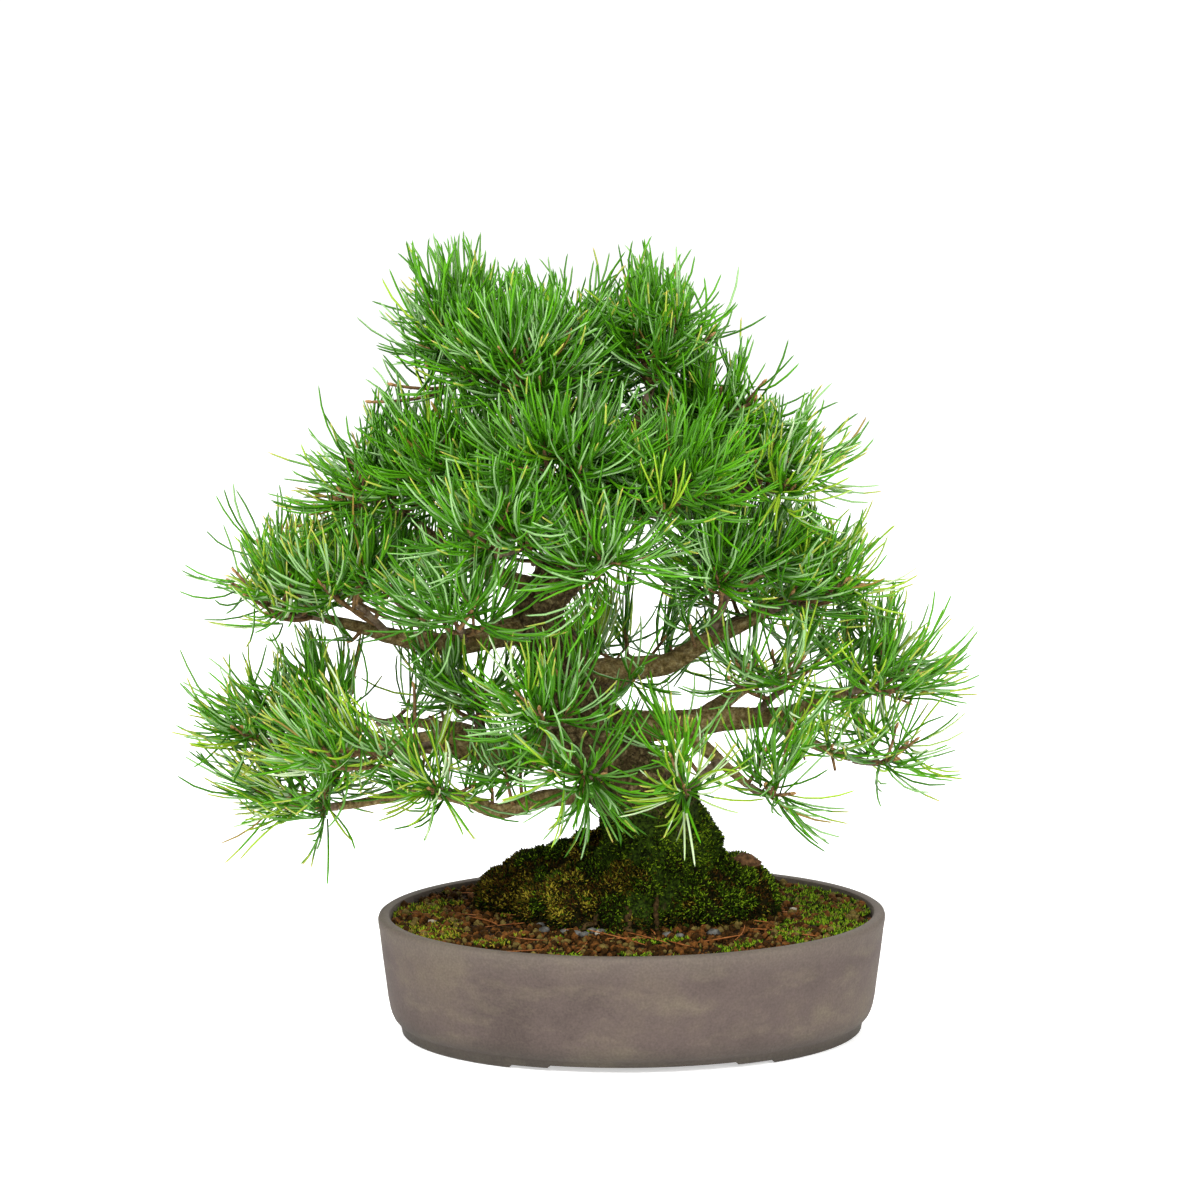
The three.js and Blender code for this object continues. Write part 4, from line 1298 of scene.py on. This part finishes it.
# Windows where growers thin the needles in front of the wood, in the same measures
WINDOWS = [
    (-57, 316, 10), (-66, 296, 9), (-19, 259, 9), (-27, 240, 8), (-23, 202, 15), (-2, 196, 12),
    (30, 264, 9), (48, 273, 11), (66, 282, 9), (76, 229, 9), (96, 229, 8), (-199, 166, 9),
    (-180, 167, 9), (-216, 165, 8), (-79, 166, 9), (-97, 163, 8), (-191, 290, 9), (-166, 284, 8),
    (-140, 281, 7), (2, 447, 7), (-120, 204, 9), (-146, 205, 8),
]
LEFT_IN_WINDOWS = 0.3
BEHIND_WOOD = 5


def keeps_clear(corners, circles, left, rng):
    """True for the needles that keep clear of the circles, and for a few that cross them."""
    seen = seen_from_front(corners[:, SIDES::SIDES])
    clear = np.ones(len(corners), dtype=bool)
    for x, height, radius in circles:
        ragged = radius * rng.uniform(*OPENING_EDGE, len(corners))
        clear &= (np.linalg.norm(seen - [x, height], axis=2) > ragged[:, None]).all(axis=1)
    return clear | (rng.random(len(corners)) < left)


def that_stay(name, corners):
    """Which needles stay. A grower plucks those that hang down from a raised mass."""
    tips = corners[:, NEEDLE_TIP]
    stay = ((tips > BOX_LOW - ROOM_LOW) & (tips < BOX_HIGH + ROOM_HIGH)).all(axis=1)
    rng = np.random.default_rng(len(corners))
    stay &= keeps_clear(corners, OPENINGS, LEFT_IN_OPENINGS, rng)
    behind = corners[:, 0, 1] > BEHIND_WOOD
    stay &= behind | keeps_clear(corners, WINDOWS, LEFT_IN_WINDOWS, rng)
    if name in MASSES and MASSES[name][-1] > PLUCKED_OVER:
        stay &= unit(tips - corners[:, 0])[:, 2] > PLUCKED
    return stay


# %% Dress every mass in its needles
for name, rows in tufts.items():
    corners, colours = map(np.concatenate, zip(*(tuft(*row) for row in rows)))
    stay = that_stay(name, corners)
    mesh = mesh_of_copies(corners[stay], NEEDLE_FACES, colours[stay])
    replaced = ["needles_" + name] if name in MASSES else ()
    add_piece("sprays_" + name, mesh, needle_materials, replaced, smooth=False)

# %% [markdown]
# ## Young bark and buds
# Two-year-old twigs are smooth and light brown, and stems are older and greyer. Relief would
# be lost at their size, so they stay plain round tubes along the routes noted above. At the
# tip of each tuft sits next year's bud, a pointed egg of resinous scales no longer than a
# grain of rice. Hundreds of separate buds would be slow to handle, so one bud is copied into
# a single mesh.


# %% A two-toned, slightly rough material, for twigs and later for grains and stones
def grained(name, dark, light, grain_mm, roughness):
    """grain_mm: the size of its grain, coarser than life where the real one wouldn't show."""
    material, tree, shader = new_material(name, Roughness=roughness, Specular_IOR_Level=0.07)
    place = add(tree, "TexCoord").outputs["Object"]
    grain = add(
        tree, "TexNoise",
        {"Vector": place, "Scale": per_metre(grain_mm), "Detail": 4, "Roughness": 0.6},
    )
    ramp = add(
        tree, "ValToRGB", {"Fac": grain.outputs["Fac"]}, stops=[(0.35, dark), (0.65, light)]
    )
    give_surface(tree, shader, ramp.outputs["Color"], grain.outputs["Fac"], 0.5 * MM, 0.6)
    return material


# Stems are dull, twigs have a faint sheen, and resin makes the buds the glossiest
stem_bark = grained("stem_bark_grey_brown", "#4d3c30", "#8b7863", 5, 0.85)
twig_bark = grained("twig_bark_orange_brown", "#4c3a28", "#8b6c47", 4, 0.7)
bud_scales = grained("bud_scales_resinous", "#7d5834", "#c19a68", 2, 0.5)

# %% The stems and twigs as tubes
add_piece("stems", mesh_of_tubes(stem_routes, 2), [stem_bark])
add_piece("twigs", mesh_of_tubes(twig_routes, 1), [twig_bark])

# %% A bud is a small ball drawn out to a point, and arrays set one on every tuft
BUD_SIZE = (1.4, 3.1)
BUD_PINCH = 0.35
BUD_BEYOND = 2.5
bud = bmesh.new()
bmesh.ops.create_uvsphere(bud, u_segments=6, v_segments=5, radius=1)
for corner in bud.verts:
    x, y, z = corner.co
    wide = BUD_SIZE[0] * (1 - BUD_PINCH * max(0, z))
    corner.co = (x * wide, y * wide, z * BUD_SIZE[1])
bud_corners, bud_faces = shape_arrays(bud)
places, axes, tuft_sizes, _ = map(np.array, zip(*(row for rows in tufts.values() for row in rows)))
buds = set_along(
    bud_corners, places + axes * BUD_BEYOND, axes, 0.75 + 0.35 * tuft_sizes, np.zeros(len(axes))
)
add_piece("buds", mesh_of_copies(buds, bud_faces), [bud_scales])

# %% [markdown]
# ## The soil
# The pot is filled with a baked clay grit in grains of two to about eight millimetres,
# reddish and dark brown, with a few pale crumbs of pumice. A bed closes the pot, and grains
# are sown on it: each is a ball with twenty faces, made lumpy and squashed at random. Fallen
# needles lie between them.

# %% Materials of the soil: all of them dull, because baked clay and dry needles don't shine
# The bed is darker than any of the grains, and shows in the gaps between them
soil_bed = grained("soil_bed_dark", "#120b04", "#2a1b0a", 3, 0.95)
grain_red = grained("clay_grain_red", "#3a230c", "#6c431c", 2, 0.9)
grain_dark = grained("clay_grain_dark", "#1a1003", "#3b2408", 2, 0.9)
grain_tan = grained("clay_grain_tan", "#43361a", "#6f6030", 2, 0.9)
pumice = grained("pumice_crumb", "#7a7164", "#b3a998", 1.5, 0.9)
dry_needle = grained("dry_needle_rusty", "#6a3a18", "#a4683a", 8, 0.6)

# %% The bed of soil, which closes the pot and dips a little towards the rim
SOIL_REACHES = [0, 150, 160, 170]
SOIL_HEIGHTS = [80.8, 80.7, 80.5, 80.2]
BED_PROFILE = [(0, 14.3), (155.5, 14.3), (162, 22.3), (170.4, 80.2), (160, 80.5), (150, 80.7)]
BED_PROFILE += [(radius, 80.8) for radius in (140, 128, 112, 96, 60, 0)]
BED_TOP = 76.5
bed = oval_spin(BED_PROFILE, 96)
for corner in bed.verts:
    if corner.co.z > BED_TOP:
        spot = Vector((corner.co.x, corner.co.y, 3.0))
        corner.co.z += 1.1 * noise.noise(spot / 17) - 0.3
settle(bed)
add_piece("soil_bed", mesh_of(bed), [soil_bed], ["soil"])

# %% Where things may lie on the soil: inside the rim, and not in the trunk or its moss
SOIL_INSIDE = 169.5
SOIL_HALF_WIDTH = SOIL_INSIDE - (HALF_LENGTH - HALF_WIDTH)
FLARE_CENTRE = np.array([8, 18])


def on_soil(spots, above):
    """Places on the bed, some mm above it, from x and y round the pot's middle."""
    reach = np.hypot(spots[:, 0], spots[:, 1] * HALF_LENGTH / HALF_WIDTH)
    return np.column_stack([spots, np.interp(reach, SOIL_REACHES, SOIL_HEIGHTS) + above])


def sown(rng, count, clear):
    """Random x and y on the soil that keep clear of the flare's centre by some mm."""
    cos, sin = math.cos(POT_TURN), math.sin(POT_TURN)
    found = []
    while len(found) < count:
        x, y = rng.uniform(-1, 1, 2) * SOIL_INSIDE
        inside = (x / SOIL_INSIDE) ** 2 + (y / SOIL_HALF_WIDTH) ** 2 < 1
        if inside and np.hypot(*([x, y] - FLARE_CENTRE)) > clear:
            found.append((x * cos - y * sin, x * sin + y * cos))
    return np.array(found)


# %% Sow the grains
def ball(subdivisions):
    shape = bmesh.new()
    bmesh.ops.create_icosphere(shape, subdivisions=subdivisions, radius=1)
    return shape_arrays(shape)


GRAINS = 5200
GRAINS_CLEAR = 58
GRAIN_SIZES = (1.0, 3.9)
KIND_SHARES = {"red": 0.4, "dark": 0.43, "tan": 0.166, "pumice": 0.004}
rng = np.random.default_rng(12)
spots = sown(rng, GRAINS, GRAINS_CLEAR)
ball_corners, ball_faces = ball(1)
sizes = between(*GRAIN_SIZES, rng.random(GRAINS) ** 2.6)
lumpy = ball_corners * rng.uniform(0.68, 1.2, (GRAINS, len(ball_corners), 1))
squash = rng.uniform(0.7, 1.1, (GRAINS, 1, 3))
places = on_soil(spots, sizes * 0.35)
grains = places[:, None] + lumpy * squash * sizes[:, None, None]
kinds = rng.choice(len(KIND_SHARES), GRAINS, p=list(KIND_SHARES.values()))
grains_mesh = mesh_of_copies(grains, ball_faces, kinds)
grain_materials = [grain_red, grain_dark, grain_tan, pumice]
add_piece("soil_grains", grains_mesh, grain_materials, smooth=False)

# %% Fallen needles between the grains
FALLEN = 46
FALLEN_CLEAR = 66
FALLEN_LENGTHS = (22, 52)
FALLEN_RADIUS = 0.55
FALLEN_INSIDE = (160, 116)
rng = np.random.default_rng(5)
spots = sown(rng, FALLEN, FALLEN_CLEAR)
angles = rng.uniform(0, 2 * math.pi, FALLEN)
lie = unit(np.column_stack([np.cos(angles), np.sin(angles), rng.normal(0, 0.03, FALLEN)]))
aside = np.column_stack([-np.sin(angles), np.cos(angles), np.zeros(FALLEN)])
lengths = rng.uniform(*FALLEN_LENGTHS, FALLEN)
starts = on_soil(spots, rng.uniform(2.0, 3.4, FALLEN))
ends = starts + lie * lengths[:, None]
stays = ((ends[:, :2] / FALLEN_INSIDE) ** 2).sum(axis=1) < 1
fallen = bent_needles(
    starts[stays], lie[stays], aside[stays], rng.uniform(0.1, 0.8, stays.sum()),
    lengths[stays], FALLEN_RADIUS, rng.uniform(0, FULL_TURN, stays.sum()),
)
fallen_mesh = mesh_of_copies(fallen, NEEDLE_FACES)
add_piece("fallen_needles", fallen_mesh, [dry_needle], smooth=False)

# %% [markdown]
# ## Moss
# The flare of the trunk is hidden under a mound of moss: deep green in the middle and on the
# right, and olive and brown where it has dried on the left. Moss is a carpet of upright
# shoots a few millimetres tall, which climbs the bark in patches and spreads over the soil.
# Melted lumps give the mound its form, and tens of thousands of three-sided spikes give it
# its crumbly velvet. The spikes are coloured by patch, because moss grows in colonies, and
# each patch mixes light and dark shoots. On the toe of the mound and in its hollows, dark
# shoots are dealt as painted shade.

# %% Moss materials: as dull as cloth, because light is lost between the shoots
MOSS_COLOURS = {
    "moss_shade": "#0d0f02",
    "moss_deep": "#1a2603",
    "moss_green": "#324a06",
    "moss_bright": "#708a1a",
    "moss_olive": "#4c410c",
    "moss_yellow": "#8f8128",
    "moss_dry_brown": "#3b250a",
}
moss_materials = plain_materials(MOSS_COLOURS, 0.95, 0.05)
moss_ground = grained("moss_ground", "#090702", "#1c1a04", 3, 0.95)

# %% Lumps of the mound: x, y, half length, half width and height above the soil, in mm
LUMPS = [
    (-66, 34, 35, 36, 42), (-88, 30, 25, 30, 30), (-46, 26, 28, 32, 50), (-32, 14, 20, 26, 62),
    (-38, -12, 33, 36, 39), (-58, -2, 24, 30, 30), (-16, -24, 26, 24, 34),
    (72, 16, 30, 36, 42), (88, 14, 17, 30, 30), (54, -2, 27, 34, 37),
]
MOUND_VOXEL = 2.0
MOUND_ROUNDS = 4
MOUND_SWELL = 3.6
MOUND_GRAIN = 1.5
MOUND_SINKS = 0.4
# The mound holds the foot of the trunk up to one height. Above another it grows thinner, by
# a millimetre in each so many
FLARE_COVERED = 186
THINS_ABOVE = 118
THINS_OVER = 13


def swell_at(places):
    """Cushions and hollows of the moss, at each place."""
    return np.array([noise.fractal(Vector(place) / 17, 0.9, 2.0, 3) for place in places])


# %% Lumps and the foot of the trunk, melted into one mound and cut off flat in the soil
mound = body_of(trunk_skin)
cut_flat(mound, FLARE_COVERED, 1)
for x, y, *half_sizes in LUMPS:
    lump = bmesh.ops.create_icosphere(mound, subdivisions=4, radius=1)
    for corner in lump["verts"]:
        corner.co = part_metres(np.array([x, y, GROUND]) + np.multiply(corner.co, half_sizes))
mound_skin = melted(mesh_of(mound), MOUND_VOXEL, MOUND_ROUNDS)
points = part_mm(rows_of(mound_skin, "co"))
sinks = MOUND_SINKS + np.maximum(0, points[:, 2] - THINS_ABOVE) / THINS_OVER
lift = MOUND_SWELL * swell_at(points) + MOUND_GRAIN * noise_at(points, 4.5)
points += rows_of(mound_skin, "normal") * (lift - sinks)[:, None]
mound_skin.vertices.foreach_set("co", part_metres(points).ravel())
mound = body_of(mound_skin)
cut_flat(mound, GROUND - 1.5, -1)
mound_skin = mesh_of(mound, mound_skin)
moss_nodes = ["moss_left", "moss_front", "moss_right"]
add_piece("moss_mound", mound_skin, [moss_ground], moss_nodes)


# %% Where shoots stand on a surface, and how far a place is above another surface
def middles_of(faces):
    """The middles of some faces in mm, and the directions that they look in."""
    return part_mm([face.center for face in faces]), np.array([face.normal for face in faces])


def strewn(rng, feet, ups, most):
    """Move each foot about on its own surface by at most so many mm."""
    return feet + rng.uniform(-most, most, feet.shape) * (1 - np.abs(ups))


def height_above(feet, tree, points, outward):
    """How high each foot is above the nearest point of a surface, and how far from it."""
    found = [tree.find(foot)[1:] for foot in feet]
    near, distances = map(np.array, zip(*found))
    return ((feet - points[near]) * outward[near]).sum(axis=1), distances


# %% Shoots on the mound: several to a face, fewer in its hollows and none inside the bark
SHOOTS_PER_FACE = 3
STREWN = 1.1
IN_BARK = -0.8
AWAY_FROM_BARK = 6
rng = np.random.default_rng(21)
centres, ups = middles_of(
    [face for face in mound_skin.polygons if face.normal.z > -0.5 and len(face.vertices) < 6]
)
moss_feet = np.repeat(centres, SHOOTS_PER_FACE, axis=0)
moss_ups = np.repeat(ups, SHOOTS_PER_FACE, axis=0)
moss_feet = strewn(rng, moss_feet, moss_ups, STREWN)
above, away = height_above(moss_feet, tree_of(trunk_points), trunk_points, trunk_outward)
hollows = swell_at(moss_feet)
chance = np.interp(hollows, [-0.5, -0.1], [0.35, 1])
grows = ((above > IN_BARK) | (away > AWAY_FROM_BARK)) & (rng.random(len(moss_feet)) < chance)
moss_feet, moss_ups, hollows = moss_feet[grows], moss_ups[grows], hollows[grows]
print("moss shoots on the mound", len(moss_feet))

# %% Shoots that climb the bark above the mound, in patches that thin out upwards
CLIMBERS_PER_FACE = 2
CLIMB_HEIGHTS = [84, 86, 150, 212]
CLIMB_CHANCES = [-1, 0.75, 0.45, -0.45]
CLIMB_LIMIT = 0.25
CLIMB_STREWN = 0.9
IN_MOUND = -0.2
ROOTED = 0.8
lowest, highest = CLIMB_HEIGHTS[0], CLIMB_HEIGHTS[-1]
climb_feet, climb_ups = middles_of(
    [face for face in trunk_skin.polygons if lowest < face.center.z / MM < highest]
)
mottle = noise_at(climb_feet, 17) + 0.5 * noise_at(climb_feet, 5)
mound_points = part_mm(rows_of(mound_skin, "co"))
mound_tree = tree_of(mound_points)
above, _ = height_above(climb_feet, mound_tree, mound_points, rows_of(mound_skin, "normal"))
chance = np.interp(climb_feet[:, 2], CLIMB_HEIGHTS, CLIMB_CHANCES) + 0.2 * climb_ups[:, 2]
climbs = (mottle + chance > CLIMB_LIMIT) & (above > IN_MOUND)
climb_ups = np.repeat(climb_ups[climbs], CLIMBERS_PER_FACE, axis=0)
climb_feet = np.repeat(climb_feet[climbs], CLIMBERS_PER_FACE, axis=0) - climb_ups * ROOTED
climb_feet = strewn(rng, climb_feet, climb_ups, CLIMB_STREWN)
moss_feet = np.vstack([moss_feet, climb_feet])
moss_ups = np.vstack([moss_ups, climb_ups])
hollows = np.concatenate([hollows, np.zeros(len(climb_feet))])
print("and on the bark", len(climb_feet))

# %% Patches of moss on the soil: more to the right and at the far left
SOWN_MOSS = 42000
MOSS_CLEAR = 40
PATCH_LIMIT = 0.46
patch_spots = sown(rng, SOWN_MOSS, MOSS_CLEAR)
wide, fine = (np.insert(patch_spots, 2, level, axis=1) for level in (9, 3))
mottle = noise_at(wide, 26) + 0.45 * noise_at(fine, 8)
right_side = np.clip((patch_spots[:, 0] - 50) / 90, 0, 1)
far_left = np.clip((-patch_spots[:, 0] - 105) / 35, 0, 1)
patch_spots = patch_spots[mottle + 0.78 * right_side + 0.56 * far_left > PATCH_LIMIT]
patch_places = on_soil(patch_spots, 1.6)
patch_ups = unit(rng.normal(0, 0.3, patch_places.shape) + [0, 0, 1])
print("moss shoots on the soil", len(patch_spots))

# %% Raise the shoots as spikes, which lean about and vary in size
SPIKE_RADIUS = 0.85
SPIKE_ROOTED = 0.9
SPIKE_LEAN = 0.42
# A cone of three sides that stands on its foot, with one corner towards x
ON_FOOT = Matrix.Translation((0, 0, 0.5)) @ Matrix.Rotation(math.radians(-90), 4, "Z")
cone = bmesh.new()
bmesh.ops.create_cone(
    cone, cap_ends=True, segments=3, radius1=1, radius2=0, depth=1, matrix=ON_FOOT
)
spike_corners, spike_faces = shape_arrays(cone)


def spikes(name, feet, ups, tall, kinds):
    rng = np.random.default_rng(len(feet))
    axes = unit(ups + rng.normal(0, SPIKE_LEAN, ups.shape))
    corners = set_along(
        spike_corners * [SPIKE_RADIUS, SPIKE_RADIUS, tall], feet - ups * SPIKE_ROOTED, axes,
        rng.uniform(0.6, 1.4, len(feet)), rng.uniform(0, FULL_TURN, len(feet)),
    )
    mesh = mesh_of_copies(corners, spike_faces, kinds)
    add_piece(name, mesh, moss_materials, smooth=False)


# %% Which colours a colony mixes: shares of the moss colours in their order
GREEN_COLONY = [0.2, 0.42, 0.26, 0.1, 0.02, 0.0, 0.0]
BRIGHT_COLONY = [0.12, 0.26, 0.36, 0.22, 0.04, 0.0, 0.0]
OLIVE_COLONY = [0.2, 0.1, 0.06, 0.0, 0.3, 0.16, 0.18]
# Dry brown moss, also dealt in the mound's hollows as painted shade
DRY_BROWN_AND_SHADE_COLONY = [0.3, 0.1, 0.03, 0.0, 0.2, 0.03, 0.34]
YELLOW_COLONY = [0.1, 0.1, 0.1, 0.02, 0.32, 0.3, 0.06]
# Mostly moss_shade: painted shade on the mound's toe, low by the soil
TOE_PAINTED_SHADE_COLONY = [0.5, 0.14, 0.06, 0.0, 0.12, 0.02, 0.16]
GREEN_PATCH = [0.08, 0.12, 0.38, 0.4, 0.02, 0.0, 0.0]
DRY_PATCH = [0.06, 0.08, 0.24, 0.22, 0.16, 0.24, 0.0]
DRY_LEFT_OF = -60
YELLOW_LUMP = ((-47, -46, 107), 21)
TOE_SHADE_BELOW = 88
HOLLOW_SHADE_BELOW = -0.22


def colony_of(place, hollow):
    drift = noise.noise(Vector(place) / 19)
    dryness = -place[0] / 75 + drift * 1.3 - (place[2] - 112) / 70
    # Low on the toe of the mound, shoots are dealt the dark mix of painted shade
    if place[2] < TOE_SHADE_BELOW + 6 * drift:
        return TOE_PAINTED_SHADE_COLONY
    # Shoots in the hollows of the mound get the dark brown mix, as painted shade
    if hollow < HOLLOW_SHADE_BELOW:
        return DRY_BROWN_AND_SHADE_COLONY
    if np.linalg.norm(place - YELLOW_LUMP[0]) < YELLOW_LUMP[1] + 9 * drift:
        return YELLOW_COLONY
    if dryness > 0.75:
        return DRY_BROWN_AND_SHADE_COLONY if drift < 0.05 and place[1] > 8 else OLIVE_COLONY
    if dryness > 0.3:
        return OLIVE_COLONY if drift > 0.05 else GREEN_COLONY
    return BRIGHT_COLONY if drift + place[0] / 260 > 0.16 else GREEN_COLONY


def dealt(colonies):
    """A moss colour for every shoot, by its colony's shares."""
    return np.array([rng.choice(len(MOSS_COLOURS), p=colony) for colony in colonies])


mound_kinds = dealt(colony_of(foot, hollow) for foot, hollow in zip(moss_feet, hollows))
spikes("moss_shoots", moss_feet, moss_ups, 3.3, mound_kinds)
patch_kinds = dealt(DRY_PATCH if x < DRY_LEFT_OF else GREEN_PATCH for x in patch_spots[:, 0])
spikes("moss_patches", patch_places, patch_ups, 2.7, patch_kinds)

# %% [markdown]
# ## Bare roots, stones and a flake of bark
# Where the moss ends at the front, a few roots three or four millimetres thick run down into
# the grit, and a handful of grey stones wedge them. A flake of old bark lies on the right
# hump. The roots are short tubes whose points are pulled onto the mound's own surface.

# %% Roots along the mound's foot, as dark as damp bark
ROOTS = [
    [(-2, -44, 98), (-3, -52, 91), (-1, -62, 82)],
    [(27, -42, 104), (25, -50, 93), (30, -60, 82)],
    [(-24, -42, 93), (-27, -52, 87), (-36, -60, 81)],
]
ROOT_STEPS = 16
ROOT_RADII = (2.0, 1.5)
ROOT_SUNK = [0, 0.6, 0]
root_routes = []
for route in ROOTS:
    smooth = Limb(route, ROOT_RADII).at(np.linspace(0, 1, ROOT_STEPS))
    onto = np.array([mound_tree.find(point)[0] for point in smooth])
    onto[:, 2] = smooth[:, 2]
    knots = 1 + 0.2 * np.sin(np.arange(ROOT_STEPS) * 1.7 + route[0][0])
    root_routes.append((onto + ROOT_SUNK, np.linspace(*ROOT_RADII, ROOT_STEPS) * knots))
root_bark = grained("root_bark_dark", "#221809", "#4c3b22", 3, 0.9)
add_piece("bare_roots", mesh_of_tubes(root_routes, 3), [root_bark])

# %% Stones at the mound's toe: matt and a little worn
STONES = 12
STONE_SIZES = (2.4, 5.2)
STONE_SQUASH = [1.1, 0.9, 0.7]
rng = np.random.default_rng(8)
stone_grey = grained("stone_grey", "#33322f", "#6b6a66", 4, 0.85)
stone_shape, stone_faces = ball(2)
angles = rng.uniform(3.6, 5.2, STONES)
toe = np.column_stack([
    8 + 92 * np.cos(angles) + rng.normal(0, 5, STONES),
    6 + 64 * np.sin(angles) + rng.normal(0, 3, STONES),
    np.full(STONES, GROUND + 1.0),
])
rough = stone_shape * rng.uniform(0.85, 1.12, (STONES, len(stone_shape), 1))
stones = toe[:, None] + rough * rng.uniform(*STONE_SIZES, (STONES, 1, 1)) * STONE_SQUASH
stones_mesh = mesh_of_copies(stones, stone_faces)
add_piece("stones_grey", stones_mesh, [stone_grey], smooth=False)

# %% The flake of bark on the right hump: its half sizes and its place
FLAKE_SIZE = [12.5, 9, 6]
FLAKE_PLACE = [79, 11, 119]
# Dull, and redder than the trunk, as the inner side of old bark is
bark_chip = grained("bark_chip_red_brown", "#38281a", "#745338", 3, 0.9)
flake = stone_shape * rng.uniform(0.72, 1.2, (1, len(stone_shape), 1)) * FLAKE_SIZE
flake_mesh = mesh_of_copies(flake + FLAKE_PLACE, stone_faces)
add_piece("bark_flake", flake_mesh, [bark_chip], smooth=False)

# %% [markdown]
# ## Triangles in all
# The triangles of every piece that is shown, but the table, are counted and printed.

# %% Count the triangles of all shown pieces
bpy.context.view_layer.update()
total = sum(
    len(p.vertices) - 2
    for o in bpy.context.scene.objects
    if o.type == "MESH" and not o.hide_render and o.name != "table"
    for p in o.data.polygons
)
print("triangles in all", total)
